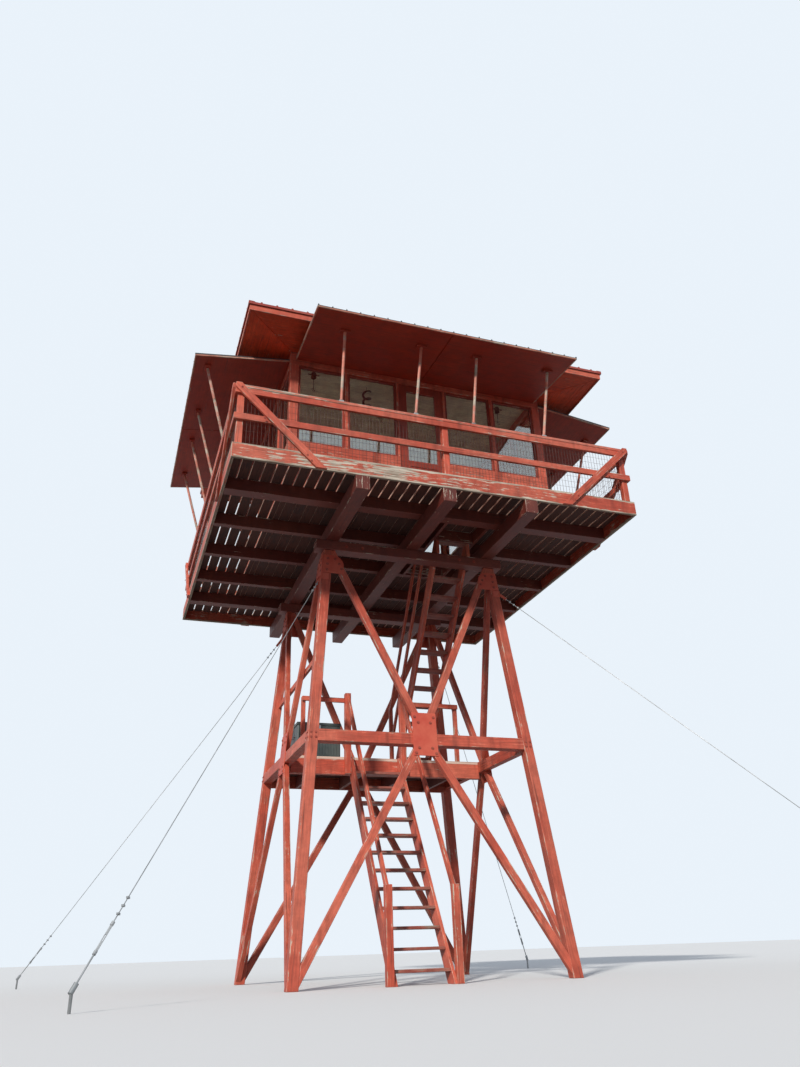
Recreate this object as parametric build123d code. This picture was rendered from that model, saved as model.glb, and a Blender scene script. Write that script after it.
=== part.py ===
from build123d import *
import math
import os

# A timber fire lookout: a glazed cab with propped shutters on a braced, guyed four-leg tower.
# Millimetres, +Z up, +X to the right along the front, front face towards -Y.
# The origin lies on the ground at the centre of the four legs.

# Tower frame
LEG_W = 140.0                # square leg timber
FOOT_HALF = 1824.5           # leg centre from the middle at the ground
BATTER = 0.08645             # inward lean of each leg face, run per rise
CAP_TOP = 5942.0             # top of the cap beams, where the floor beams sit
CAP_H = 150.0
CAP_W = 200.0
CAP_OVERHANG = 190.0         # cap beam past the leg centre
GIRT_Z = 2960.0              # centre of the ring of girts
GIRT_H = 160.0
GIRT_INSET = 10.0            # girt shallower than the leg
BRACE_W = 100.0
BRACE_D = 75.0
UPPER_BRACE_X = (0.0, 1260.0)      # centre line from the middle, at its low and high end
UPPER_BRACE_Z = (3060.0, 5760.0)
LOWER_BRACE_X = (85.0, 1810.0)     # centre line from the middle, at its high and low end
LOWER_BRACE_Z = (2880.0, 40.0)
PLATE_T = 10.0
CENTRE_PLATE_Z = 3030.0      # middle of the plates over the girts
CENTRE_PLATE_W = 356.0
CENTRE_PLATE_H = 600.0
CORNER_PLATE_W = 330.0
CORNER_PLATE_H = 300.0
CORNER_PLATE_TOP_Z = 5700.0
CORNER_PLATE_R = 150.0

# Deck
DECK_HALF = 3048.0
BOARD_T = 40.0
JOIST_H = 188.0
JOIST_W = 100.0
WALL_BEAM_W = 180.0
JOIST_PITCH = 1070.0
WALL_BEAM_Y = 2110.0
RIM_T = 40.0
FLOOR_BEAM_H = 210.0
FLOOR_BEAM_W = 200.0
FLOOR_BEAM_X = 1270.0

# Railing round the deck
RAIL_TOP_ABOVE_DECK = 940.0
RAIL_POST_W = 90.0
TOP_RAIL_H = 140.0           # boards on edge, nailed outside the posts in line with the rim
MID_RAIL_H = 95.0
MID_RAIL_TOP = 470.0         # above the deck
RAIL_STRUT_W = 105.0
RAIL_STRUT_T = 40.0
RAIL_STRUT_FOOT_X = 1850.0   # on the rim's bottom edge

# Cab
CAB_HALF = 2134.0
WALL_T = 110.0
WALL_H = 2400.0
SILL_H = 770.0               # window sill above the deck
HEAD_H = 2170.0              # window head above the deck
CORNER_POST_W = 129.0
OUTER_WINDOW_W = 740.0
MULLION_W = 50.0
INNER_WINDOW_W = 800.0
DOOR_POST_W = 35.0
SASH_W = 35.0
SASH_T = 45.0
GLASS_T = 6.0
SASH_SETBACK = 25.0
FIT = 0.3                    # clearance where a piece slips between its neighbours
CUT = 1.0                    # how far a cut runs past the face it opens
DOOR_STILE = 140.0
DOOR_LOCK_RAIL_TOP = 750.0
DOOR_TOP_RAIL = 125.0
CEILING_BELOW_PLATE = 80.0
CEILING_T = 20.0
SOFFIT_T = 20.0

# Roof
EAVE_HALF = 2914.0
FASCIA_T = 25.0
FASCIA_H = 100.0
FASCIA_DROP = 16.0           # fascia below the soffit
ROOF_PITCH = 18.0
ROOF_T = 40.0
DRIP = 22.0
HIP_CAP_W = 110.0
HIP_CAP_T = 12.0

# Shutters, propped open as awnings
SHUTTER_HALF = 2058.0
SHUTTER_L = 1440.0
SHUTTER_T = 30.0
SHUTTER_HINGE_H = 2288.0     # hinge line above the deck
SHUTTER_GAP = 8.0
SHUTTER_ANGLE = {"front": 6.5, "back": 8.1, "left": 8.1, "right": 8.1}
RIB_COUNT = 21
RIB_W = 22.0
RIB_H = 18.0
HINGE_BAYS = (2, 9, 17)      # gaps between ribs that hold a hinge, counted from 0
HINGE_W = 70.0
HINGE_T = 5.0
HINGE_STRAP = 150.0
HINGE_LEAF = 60.0
PROP_R = 21.0
PROP_FEET = (-1570.0, -450.0, 460.0, 1630.0)
PROP_HEADS = (-1540.0, -350.0, 560.0, 1780.0)
PROP_HEAD_OUT = {"front": 3120.0, "back": 3350.0, "left": 3350.0, "right": 3350.0}
PROP_SHOE = (70.0, 36.0, 20.0)
PROP_CLEAT = (150.0, 90.0, 30.0)

# Landing at mid height
LANDING_Z = 3030.0
LANDING_BEAM_BOTTOM = 2770.0
LANDING_BEAM_T = 90.0
LANDING_BOARD_T = 38.0
LANDING_JOIST_W = 50.0
LANDING_JOIST_H = 190.0
LANDING_JOIST_X = (-1100.0, -370.0, 370.0, 1100.0)
LEDGER_T = 50.0
GIRT_LEAN_ROOM = 20.0        # room beside the leaning inner faces of the girts
LANDING_RAIL_H = 70.0
LANDING_RAIL_T = 40.0
LANDING_RAIL_TOP = 3930.0
LANDING_END_POST = 60.0
LANDING_RAIL_ENDS = (-1370.0, 1200.0)
HIGH_RAIL_TOP = 4200.0
HIGH_RAIL_H = 90.0
HIGH_RAIL_SETBACK = 82.0

# Box kept on the landing
BOX_X = (-1400.0, -730.0)
BOX_Y = (110.0, 690.0)
BOX_H = 530.0
BOX_LID_H = 40.0
BOX_LID_LIP = 12.0
BOX_RIB_PITCH = 42.0
BOX_RIB = 14.0

# Stairs
TREAD_T = 38.0
STRINGER_T = 42.0
STRINGER_D = 200.0
LOWER_X = -210.0             # centre line of the lower flight
LOWER_W = 800.0
LOWER_NOSE_Y = -58.0         # nose line where it meets the landing level
LOWER_RUN = 0.603            # run per rise
LOWER_RISE = 238.0
LOWER_TREADS = 12
LOWER_TREAD_D = 190.0
UPPER_X = 700.0
UPPER_W = 555.0
UPPER_RUN = 0.728
UPPER_FIRST_RISE = 190.0
UPPER_RISE = 247.5
UPPER_TREADS = 13
UPPER_FOOT_Y = 1000.0
UPPER_TREAD_D = 180.0
UPPER_STRINGER_D = 190.0
NEWEL_W = 90.0
NEWEL_TOP_Z = 1110.0
HANDRAIL_DROP = 20.0         # handrail below the newel's top
HANDRAIL_W = 90.0
HANDRAIL_T = 38.0
UPPER_RAIL_T = 38.0
UPPER_RAIL_W = 60.0
UPPER_RAIL_UPS = (480.0, 1080.0)
UPPER_POST_W = 60.0

# Hatch in the cab floor over the upper flight
HATCH_Y = (-1440.0, -160.0)
HATCH_SIDE = 40.0            # room beside the stringers
TRIMMER_W = 50.0

# Guy cables
GUY_R = 5.0
GUY_TOP_Z = 5340.0
GUY_SOCKET_R = 20.0
GUY_SOCKET_L = 90.0
GUY_STAND_OFF = 60.0
GUY_SHOE_H = 100.0
GUY_SHOE_W = 105.0
GUY_SHOE_T = 10.0
GUY_REACH = {"front_left": 4150.0, "front_right": 5100.0,
             "back_left": 5100.0, "back_right": 4150.0}
TURNBUCKLE_R = 16.0
TURNBUCKLE_L = 320.0
TURNBUCKLE_ROD_R = 8.0
TURNBUCKLE_ROD_L = 260.0
ANCHOR_R = 14.0
ANCHOR_EYE_Z = 160.0
ANCHOR_SOCKET_R = 22.0
ANCHOR_SOCKET_L = 70.0

# Worked out from the values above
CAP_BOTTOM = CAP_TOP - CAP_H
FLOOR_BEAM_TOP = CAP_TOP + FLOOR_BEAM_H
JOIST_TOP = FLOOR_BEAM_TOP + JOIST_H
DECK_TOP = JOIST_TOP + BOARD_T
RAIL_TOP = DECK_TOP + RAIL_TOP_ABOVE_DECK
PLATE_TOP = DECK_TOP + WALL_H
SILL_Z = DECK_TOP + SILL_H
HEAD_Z = DECK_TOP + HEAD_H
HINGE_Z = DECK_TOP + SHUTTER_HINGE_H
SLOPE_LENGTH = math.hypot(1.0, BATTER)
GIRT_D = LEG_W - GIRT_INSET
HATCH_X = (UPPER_X - UPPER_W / 2 - HATCH_SIDE, UPPER_X + UPPER_W / 2 + HATCH_SIDE)
OUTER_WINDOW = (CAB_HALF - CORNER_POST_W - OUTER_WINDOW_W, CAB_HALF - CORNER_POST_W)
INNER_WINDOW = (OUTER_WINDOW[0] - MULLION_W - INNER_WINDOW_W, OUTER_WINDOW[0] - MULLION_W)
MID_WINDOW_HALF = INNER_WINDOW[0] - MULLION_W
DOOR_HALF = INNER_WINDOW[0] - DOOR_POST_W
SIDES = ("front", "right", "back", "left")
CORNERS = {"front_left": (-1, -1), "front_right": (1, -1),
           "back_left": (-1, 1), "back_right": (1, 1)}

os.makedirs("parts", exist_ok=True)


def write(name, *solids):
    """One STEP file for one named piece, or for a set of like pieces."""
    export_step(Compound(children=list(solids)), f"parts/{name}.step")


def block(x0, x1, y0, y1, z0, z1):
    centre = Pos((x0 + x1) / 2, (y0 + y1) / 2, (z0 + z1) / 2)
    return centre * Box(abs(x1 - x0), abs(y1 - y0), abs(z1 - z0))


def side_turn(side):
    """Turn that carries a piece made for the front round to another side."""
    return Rot(0, 0, 90 * SIDES.index(side))


def rod(start, end, radius):
    line = Vector(*end) - Vector(*start)
    return extrude(Plane(origin=start, z_dir=line) * Circle(radius), amount=line.length)


def leg_half(z):
    """Leg centre from the middle of the tower at a height."""
    return FOOT_HALF - BATTER * z


def only_solid(shape):
    return max(shape.solids(), key=lambda solid: solid.volume)


# Plane of the outer faces of the two front legs, its own y running up the slope
FACE = Plane(origin=(0, -(FOOT_HALF + LEG_W / 2), 0), x_dir=(1, 0, 0), z_dir=(0, -1, BATTER))


def face_bar(p, q, width, depth, setback=0.0, longer=0.0):
    """Timber in the front face of the tower between two points given as (x, z)."""
    start = Vector(p[0], p[1] * SLOPE_LENGTH)
    end = Vector(q[0], q[1] * SLOPE_LENGTH)
    line = end - start
    middle = (start + end) * 0.5
    angle = math.degrees(math.atan2(line.Y, line.X))
    outline = Pos(middle.X, middle.Y) * Rot(0, 0, angle) * Rectangle(line.length + 2 * longer, width)
    return extrude(FACE.offset(-setback) * outline, amount=-depth)


# Legs
def make_leg(sx, sy):
    foot = Pos(sx * FOOT_HALF, sy * FOOT_HALF) * Rectangle(LEG_W, LEG_W)
    lean = Vector(-sx * BATTER, -sy * BATTER, 1)
    return extrude(foot, amount=CAP_BOTTOM * lean.length, dir=lean)


legs = {name: make_leg(*signs) for name, signs in CORNERS.items()}
front_legs = [legs["front_left"], legs["front_right"]]
write("legs", *legs.values())


# Girts, braces and steel plates, worked out for the front and turned to each side
front_girt = only_solid(face_bar((-FOOT_HALF, GIRT_Z), (FOOT_HALF, GIRT_Z), GIRT_H, GIRT_D)
                        - front_legs)
write("girts", *[side_turn(side) * front_girt for side in SIDES])


def make_braces(xs, zs):
    """A pair of braces cut to the girt and the legs, and mitred on the middle where they meet."""
    braces = []
    for sx in (-1, 1):
        bar = face_bar((sx * xs[0], zs[0]), (sx * xs[1], zs[1]), BRACE_W, BRACE_D, longer=BRACE_W)
        bar = bar & block(0, sx * FOOT_HALF, -2 * FOOT_HALF, 0, 0, CAP_BOTTOM)
        braces.append(only_solid(bar - front_legs - front_girt))
    return braces


upper_braces = make_braces(UPPER_BRACE_X, UPPER_BRACE_Z)
lower_braces = make_braces(LOWER_BRACE_X, LOWER_BRACE_Z)
write("upper_braces", *[side_turn(side) * bar for side in SIDES for bar in upper_braces])
write("lower_braces", *[side_turn(side) * bar for side in SIDES for bar in lower_braces])


def make_corner_plate(sx):
    """Steel plate over a leg top and its brace, along the leg, its inner top corner rounded off."""
    top_z = CORNER_PLATE_TOP_Z
    low_z = CORNER_PLATE_TOP_Z - CORNER_PLATE_H
    outer_top = leg_half(top_z) + LEG_W / 2
    outer_low = leg_half(low_z) + LEG_W / 2
    inner = outer_low - CORNER_PLATE_W
    corners = [(sx * x, z * SLOPE_LENGTH)
               for x, z in ((outer_top, top_z), (outer_low, low_z), (inner, low_z), (inner, top_z))]
    outline = Polygon(*corners, align=None)
    inner_top = outline.vertices().sort_by_distance(Vector(*corners[3]))[0]
    return extrude(FACE * fillet(inner_top, CORNER_PLATE_R), amount=PLATE_T, dir=FACE.z_dir)


centre_outline = Pos(0, CENTRE_PLATE_Z * SLOPE_LENGTH) * Rectangle(CENTRE_PLATE_W, CENTRE_PLATE_H)
front_plates = [make_corner_plate(-1), make_corner_plate(1),
                extrude(FACE * centre_outline, amount=PLATE_T)]
write("gusset_plates", *[side_turn(side) * plate for side in SIDES for plate in front_plates])


# Cap beams, floor beams and joists
cap_y = leg_half(CAP_BOTTOM)
cap_x = cap_y + CAP_OVERHANG
write("cap_beams", *[block(-cap_x, cap_x, sy * cap_y - CAP_W / 2, sy * cap_y + CAP_W / 2,
                           CAP_BOTTOM, CAP_TOP) for sy in (-1, 1)])
write("floor_beams", *[block(x - FLOOR_BEAM_W / 2, x + FLOOR_BEAM_W / 2, -DECK_HALF, DECK_HALF,
                             CAP_TOP, FLOOR_BEAM_TOP) for x in (-FLOOR_BEAM_X, 0, FLOOR_BEAM_X)])


def joist(y, width, x0=-DECK_HALF + RIM_T, x1=DECK_HALF - RIM_T):
    return block(x0, x1, y - width / 2, y + width / 2, FLOOR_BEAM_TOP, JOIST_TOP)


trimmer_x = (HATCH_X[0] - TRIMMER_W, HATCH_X[1] + TRIMMER_W)
joists = [joist(-WALL_BEAM_Y, WALL_BEAM_W), joist(WALL_BEAM_Y, WALL_BEAM_W),
          joist(JOIST_PITCH, JOIST_W), joist(0, JOIST_W),
          joist(-JOIST_PITCH, JOIST_W, x1=trimmer_x[0]),
          joist(-JOIST_PITCH, JOIST_W, x0=trimmer_x[1])]
write("joists", *joists)

trimmer_y = (-WALL_BEAM_Y + WALL_BEAM_W / 2, -JOIST_W / 2)
hatch_frame = (block(trimmer_x[0], HATCH_X[0], *trimmer_y, FLOOR_BEAM_TOP, JOIST_TOP)
               + block(HATCH_X[1], trimmer_x[1], *trimmer_y, FLOOR_BEAM_TOP, JOIST_TOP)
               + block(*HATCH_X, HATCH_Y[0] - TRIMMER_W, HATCH_Y[0], FLOOR_BEAM_TOP, JOIST_TOP)
               + block(*HATCH_X, HATCH_Y[1], HATCH_Y[1] + TRIMMER_W, FLOOR_BEAM_TOP, JOIST_TOP))
write("hatch_frame", hatch_frame)

# Rim boards stand round the joists and the board ends
rim_in = DECK_HALF - RIM_T
write("rim_front_back", *[block(-DECK_HALF, DECK_HALF, sy * rim_in, sy * DECK_HALF,
                                FLOOR_BEAM_TOP, DECK_TOP) for sy in (-1, 1)])
write("rim_sides", *[block(sx * rim_in, sx * DECK_HALF, -rim_in, rim_in,
                           FLOOR_BEAM_TOP, DECK_TOP) for sx in (-1, 1)])

# Decking outside the cab, and the cab floor with its hatch
write("catwalk_front_back", *[block(-rim_in, rim_in, sy * CAB_HALF, sy * rim_in,
                                    JOIST_TOP, DECK_TOP) for sy in (-1, 1)])
write("catwalk_sides", *[block(sx * CAB_HALF, sx * rim_in, -CAB_HALF, CAB_HALF,
                               JOIST_TOP, DECK_TOP) for sx in (-1, 1)])
cab_floor = block(-CAB_HALF, CAB_HALF, -CAB_HALF, CAB_HALF, JOIST_TOP, DECK_TOP) \
    - block(*HATCH_X, *HATCH_Y, JOIST_TOP, DECK_TOP)
write("cab_floor", cab_floor)


# Railing: one panel a side, posts inside and boards outside, with corner struts nailed over them
def make_railing(whole_side):
    """Front railing; a side one has no corner posts and butts against the front and back rails."""
    end = DECK_HALF if whole_side else rim_in
    corner_x = rim_in - RAIL_POST_W / 2
    post_xs = (-corner_x, 0, corner_x) if whole_side else (0,)
    mid_top = DECK_TOP + MID_RAIL_TOP
    panel = block(-end, end, -DECK_HALF, -rim_in, RAIL_TOP - TOP_RAIL_H, RAIL_TOP)
    panel += block(-end, end, -DECK_HALF, -rim_in, mid_top - MID_RAIL_H, mid_top)
    for x in post_xs:
        panel += block(x - RAIL_POST_W / 2, x + RAIL_POST_W / 2, -rim_in, -rim_in + RAIL_POST_W,
                       DECK_TOP, RAIL_TOP)
    return panel


def make_struts():
    """Struts outside the front railing, from its top corners down to the rim's bottom edge."""
    struts = []
    for sx in (-1, 1):
        foot = Vector(sx * RAIL_STRUT_FOOT_X, FLOOR_BEAM_TOP)
        top = Vector(sx * DECK_HALF, RAIL_TOP)
        line = top - foot
        middle = (top + foot) * 0.5
        angle = math.degrees(math.atan2(line.Y, line.X))
        outline = Pos(middle.X, middle.Y) * Rot(0, 0, angle) \
            * Rectangle(line.length + 2 * RAIL_STRUT_W, RAIL_STRUT_W)
        strut = extrude(Plane.XZ.offset(DECK_HALF) * outline, amount=RAIL_STRUT_T)
        struts.append(strut & block(-DECK_HALF, DECK_HALF, -DECK_HALF - RAIL_STRUT_T, -DECK_HALF,
                                    FLOOR_BEAM_TOP, RAIL_TOP))
    return struts


write("railing_front_back", *[side_turn(side) * make_railing(True) for side in ("front", "back")])
write("railing_sides", *[side_turn(side) * make_railing(False) for side in ("left", "right")])
write("railing_struts", *[side_turn(side) * strut for side in SIDES for strut in make_struts()])


# Cab walls: a low wall, posts between the windows, and a header under the roof
wall_in = CAB_HALF - WALL_T
WINDOWS = {side: [(-OUTER_WINDOW[1], -OUTER_WINDOW[0]), (-INNER_WINDOW[1], -INNER_WINDOW[0]),
                  INNER_WINDOW, OUTER_WINDOW] for side in SIDES}
for side in ("right", "back", "left"):
    WINDOWS[side].insert(2, (-MID_WINDOW_HALF, MID_WINDOW_HALF))


def low_wall(side):
    end = CAB_HALF if side in ("front", "back") else wall_in
    pieces = [(-end, end)]
    if side == "front":
        pieces = [(-end, -DOOR_HALF), (DOOR_HALF, end)]
    return [side_turn(side) * block(x0, x1, -CAB_HALF, -wall_in, DECK_TOP, SILL_Z)
            for x0, x1 in pieces]


def wall_posts(side):
    """Posts between the openings of one wall, corners left to the front and back walls."""
    end = CAB_HALF if side in ("front", "back") else wall_in
    edges = [x for opening in WINDOWS[side] for x in opening]
    if side == "front":
        edges[4:4] = [-DOOR_HALF, DOOR_HALF]
    edges = [-end] + edges + [end]
    posts = []
    for x0, x1 in zip(edges[::2], edges[1::2]):
        posts.append(side_turn(side) * block(x0, x1, -CAB_HALF, -wall_in, SILL_Z, HEAD_Z))
    return posts


write("low_walls_front_back", *[wall for side in ("front", "back") for wall in low_wall(side)])
write("low_walls_sides", *[wall for side in ("left", "right") for wall in low_wall(side)])
write("wall_posts_front_back", *[post for side in ("front", "back") for post in wall_posts(side)])
write("wall_posts_sides", *[post for side in ("left", "right") for post in wall_posts(side)])
write("header_front_back", *[block(-CAB_HALF, CAB_HALF, sy * wall_in, sy * CAB_HALF, HEAD_Z, PLATE_TOP)
                             for sy in (-1, 1)])
write("header_sides", *[block(sx * wall_in, sx * CAB_HALF, -wall_in, wall_in, HEAD_Z, PLATE_TOP)
                        for sx in (-1, 1)])


# Windows: a sash in each opening with one pane in it
sash_front = -CAB_HALF + SASH_SETBACK
pane_y = sash_front + SASH_T / 2


def make_sash(x0, x1, z0, z1):
    frame = block(x0 + FIT, x1 - FIT, sash_front, sash_front + SASH_T, z0 + FIT, z1 - FIT)
    return frame - block(x0 + SASH_W, x1 - SASH_W, sash_front - CUT, sash_front + SASH_T + CUT,
                         z0 + SASH_W, z1 - SASH_W)


def make_pane(x0, x1, z0, z1):
    return block(x0, x1, pane_y - GLASS_T / 2, pane_y + GLASS_T / 2, z0, z1)


sashes = []
panes = []
for side in SIDES:
    for x0, x1 in WINDOWS[side]:
        sashes.append(side_turn(side) * make_sash(x0, x1, SILL_Z, HEAD_Z))
        panes.append(side_turn(side) * make_pane(x0 + SASH_W, x1 - SASH_W,
                                                 SILL_Z + SASH_W, HEAD_Z - SASH_W))
write("window_sashes", *sashes)

# Door: stiles and rails round one pane over a panel
door_glass = (-DOOR_HALF + DOOR_STILE, DOOR_HALF - DOOR_STILE,
              DECK_TOP + DOOR_LOCK_RAIL_TOP, HEAD_Z - DOOR_TOP_RAIL)
door = block(-DOOR_HALF + FIT, DOOR_HALF - FIT, sash_front, sash_front + SASH_T,
             DECK_TOP + FIT, HEAD_Z - FIT)
door -= block(*door_glass[:2], sash_front - CUT, sash_front + SASH_T + CUT, *door_glass[2:])
write("door", door)
panes.append(make_pane(*door_glass))
write("window_glass", *panes)

# Ceiling inside the headers, soffit over the plates
ceiling_top = PLATE_TOP - CEILING_BELOW_PLATE
write("ceiling", block(-wall_in, wall_in, -wall_in, wall_in, ceiling_top - CEILING_T, ceiling_top))
soffit_out = EAVE_HALF - FASCIA_T
soffit = block(-soffit_out, soffit_out, -soffit_out, soffit_out, PLATE_TOP, PLATE_TOP + SOFFIT_T) \
    - block(-wall_in, wall_in, -wall_in, wall_in, PLATE_TOP, PLATE_TOP + SOFFIT_T)
write("soffit", soffit)

# Fascia and roof
fascia_bottom = PLATE_TOP - FASCIA_DROP
fascia_top = fascia_bottom + FASCIA_H
fascia = block(-EAVE_HALF, EAVE_HALF, -EAVE_HALF, EAVE_HALF, fascia_bottom, fascia_top) \
    - block(-soffit_out, soffit_out, -soffit_out, soffit_out, fascia_bottom, fascia_top)
write("fascia", fascia)

tan_pitch = math.tan(math.radians(ROOF_PITCH))
cos_pitch = math.cos(math.radians(ROOF_PITCH))


def roof_height(reach, lift=0.0):
    """Height of the roof's underside at a distance from the middle, plus a lift square to it."""
    return fascia_top + (EAVE_HALF - reach) * tan_pitch + lift / cos_pitch


def make_roof_slope():
    """Front slope, mitred on the hips; a triangle of even thickness."""
    eave = EAVE_HALF + DRIP
    section = Polygon((-eave, roof_height(eave)), (-eave, roof_height(eave, ROOF_T)),
                      (0, roof_height(0, ROOF_T)), (0, roof_height(0)), align=None)
    slab = extrude(Plane.YZ * section, amount=eave, both=True)
    wedge = Polygon((-eave, -eave), (eave, -eave), (0, 0), align=None)
    return slab & extrude(wedge, amount=2 * roof_height(0))


roof_slope = make_roof_slope()
write("roof_front_back", *[side_turn(side) * roof_slope for side in ("front", "back")])
write("roof_sides", *[side_turn(side) * roof_slope for side in ("left", "right")])


def roof_envelope(lift):
    """Everything under the four slopes raised by a lift, down to the eaves."""
    eave = EAVE_HALF + DRIP
    gable = Polygon((-eave, fascia_bottom), (eave, fascia_bottom), (eave, roof_height(eave, lift)),
                    (0, roof_height(0, lift)), (-eave, roof_height(eave, lift)), align=None)
    ridge = extrude(Plane.YZ * gable, amount=eave, both=True)
    return ridge & Rot(0, 0, 90) * ridge


hip_length = 4 * EAVE_HALF
hip_band = Rot(0, 0, 45) * Box(hip_length, HIP_CAP_W, 4 * CAP_TOP)
hip_band += Rot(0, 0, -45) * Box(hip_length, HIP_CAP_W, 4 * CAP_TOP)
hip_caps = (roof_envelope(ROOF_T + HIP_CAP_T) - roof_envelope(ROOF_T)) & hip_band
write("hip_caps", hip_caps)


# Shutters hinged at the top and propped level
rib_pitch = (2 * SHUTTER_HALF - RIB_W) / (RIB_COUNT - 1)


def rib_line(i):
    """Centre line of a rib from the middle; half numbers lie between two ribs."""
    return -SHUTTER_HALF + RIB_W / 2 + i * rib_pitch


def shutter_plane(side):
    """Top face of the front shutter: x along the wall, y outwards from the hinge."""
    tilt = math.radians(SHUTTER_ANGLE[side])
    return Plane(origin=(0, -CAB_HALF - SHUTTER_GAP, HINGE_Z), x_dir=(-1, 0, 0),
                 z_dir=(0, -math.sin(tilt), math.cos(tilt)))


def make_shutter(side):
    top = shutter_plane(side)
    sheet = extrude(top * Pos(0, SHUTTER_L / 2) * Rectangle(2 * SHUTTER_HALF, SHUTTER_L),
                    amount=-SHUTTER_T)
    for i in range(RIB_COUNT):
        rib = top * Pos(rib_line(i), SHUTTER_L / 2) * Rectangle(RIB_W, SHUTTER_L)
        sheet += extrude(rib, amount=RIB_H)
    return side_turn(side) * sheet


write("shutters", *[make_shutter(side) for side in SIDES])


def make_hinges(side):
    """Bent strap hinges over the shutter's inner edge."""
    top = shutter_plane(side)
    hinges = []
    for bay in HINGE_BAYS:
        x = rib_line(bay + 0.5)
        leaf = block(x - HINGE_W / 2, x + HINGE_W / 2, -CAB_HALF - HINGE_T, -CAB_HALF,
                     HINGE_Z, HINGE_Z + HINGE_LEAF)
        strap = extrude(top * Pos(-x, HINGE_STRAP / 2 - SHUTTER_GAP)
                        * Rectangle(HINGE_W, HINGE_STRAP), amount=HINGE_T)
        strap = strap - block(-DECK_HALF, DECK_HALF, -CAB_HALF, 0, 0, 2 * HINGE_Z)
        hinges.append(side_turn(side) * (leaf + strap))
    return hinges


def prop_line(side, i):
    """Foot and head of one prop's axis, for the front."""
    tilt = math.radians(SHUTTER_ANGLE[side])
    out = PROP_HEAD_OUT[side] - CAB_HALF - SHUTTER_GAP
    under = HINGE_Z - out * math.tan(tilt) - (SHUTTER_T + PROP_CLEAT[2]) / math.cos(tilt)
    foot = Vector(PROP_FEET[i], -(DECK_HALF - RIM_T / 2), RAIL_TOP + PROP_SHOE[2])
    head = Vector(PROP_HEADS[i], -PROP_HEAD_OUT[side], under)
    return foot, head


def make_prop_set(side):
    """Round poles from the railing to the shutter, with a shoe below and a cleat above."""
    top = shutter_plane(side)
    under = top.offset(-SHUTTER_T - PROP_CLEAT[2])
    poles = []
    fittings = []
    for i in range(len(PROP_FEET)):
        foot, head = prop_line(side, i)
        along = (head - foot).normalized()
        pole = rod(foot - along * PROP_R, head + along * PROP_R, PROP_R)
        pole = split(pole, bisect_by=Plane.XY.offset(foot.Z), keep=Keep.TOP)
        pole = split(pole, bisect_by=under, keep=Keep.BOTTOM)
        poles.append(side_turn(side) * only_solid(pole))
        shoe = block(foot.X - PROP_SHOE[0] / 2, foot.X + PROP_SHOE[0] / 2,
                     foot.Y - PROP_SHOE[1] / 2, foot.Y + PROP_SHOE[1] / 2, RAIL_TOP, foot.Z)
        out = top.to_local_coords(head).Y
        cleat = extrude(top.offset(-SHUTTER_T) * Pos(-head.X, out)
                        * Rectangle(PROP_CLEAT[0], PROP_CLEAT[1]), amount=-PROP_CLEAT[2])
        fittings += [side_turn(side) * shoe, side_turn(side) * cleat]
    return poles, fittings


prop_poles = []
prop_fittings = []
hinges = []
for side in SIDES:
    poles, fittings = make_prop_set(side)
    prop_poles += poles
    prop_fittings += fittings
    hinges += make_hinges(side)
write("shutter_props", *prop_poles)
write("prop_fittings", *prop_fittings)
write("shutter_hinges", *hinges)


# Landing at mid height, behind a beam between the side girts
landing_board_bottom = LANDING_Z - LANDING_BOARD_T
back_girt_in = leg_half(GIRT_Z) + LEG_W / 2 - GIRT_D - GIRT_LEAN_ROOM
all_legs = list(legs.values())
all_girts = [side_turn(side) * front_girt for side in SIDES]
girt_zone = face_bar((-FOOT_HALF, GIRT_Z), (FOOT_HALF, GIRT_Z), 4 * GIRT_H, GIRT_D)
side_zones = [side_turn("left") * girt_zone, side_turn("right") * girt_zone]
landing_beam = only_solid(block(-FOOT_HALF, FOOT_HALF, 0, LANDING_BEAM_T,
                                LANDING_BEAM_BOTTOM, landing_board_bottom) - side_zones)
ledger_top = landing_board_bottom
ledger = only_solid(block(-FOOT_HALF, FOOT_HALF, back_girt_in - LEDGER_T, back_girt_in,
                          ledger_top - LANDING_JOIST_H, ledger_top) - side_zones - all_legs)
write("landing_beams", landing_beam, ledger)
write("landing_joists", *[block(x - LANDING_JOIST_W / 2, x + LANDING_JOIST_W / 2,
                                LANDING_BEAM_T, back_girt_in - LEDGER_T,
                                ledger_top - LANDING_JOIST_H, ledger_top)
                          for x in LANDING_JOIST_X])
landing_floor = only_solid(block(-FOOT_HALF, FOOT_HALF, 0, back_girt_in, landing_board_bottom,
                                 LANDING_Z) - all_girts - all_legs)
write("landing_floor", landing_floor)

lower_in = LOWER_W / 2
newel_xs = (LOWER_X - lower_in - NEWEL_W / 2, LOWER_X + lower_in + NEWEL_W / 2)
rail_bottom = LANDING_RAIL_TOP - LANDING_RAIL_H


def landing_front_rail(sx, newel_x, end_x):
    rail = block(newel_x + sx * NEWEL_W / 2, end_x, -LANDING_RAIL_T, 0, rail_bottom, LANDING_RAIL_TOP)
    post = block(end_x - sx * LANDING_END_POST, end_x, 0, LANDING_END_POST, LANDING_Z, LANDING_RAIL_TOP)
    return rail + post


def landing_high_rail():
    """Rail between two legs, set behind the braces; made for the front face."""
    z = HIGH_RAIL_TOP - HIGH_RAIL_H / 2
    rail = face_bar((-FOOT_HALF, z), (FOOT_HALF, z), HIGH_RAIL_H, LANDING_RAIL_T, HIGH_RAIL_SETBACK)
    return only_solid(rail - front_legs)


write("landing_rails", landing_front_rail(-1, newel_xs[0], LANDING_RAIL_ENDS[0]),
      landing_front_rail(1, newel_xs[1], LANDING_RAIL_ENDS[1]), side_turn("left") * landing_high_rail())

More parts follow.
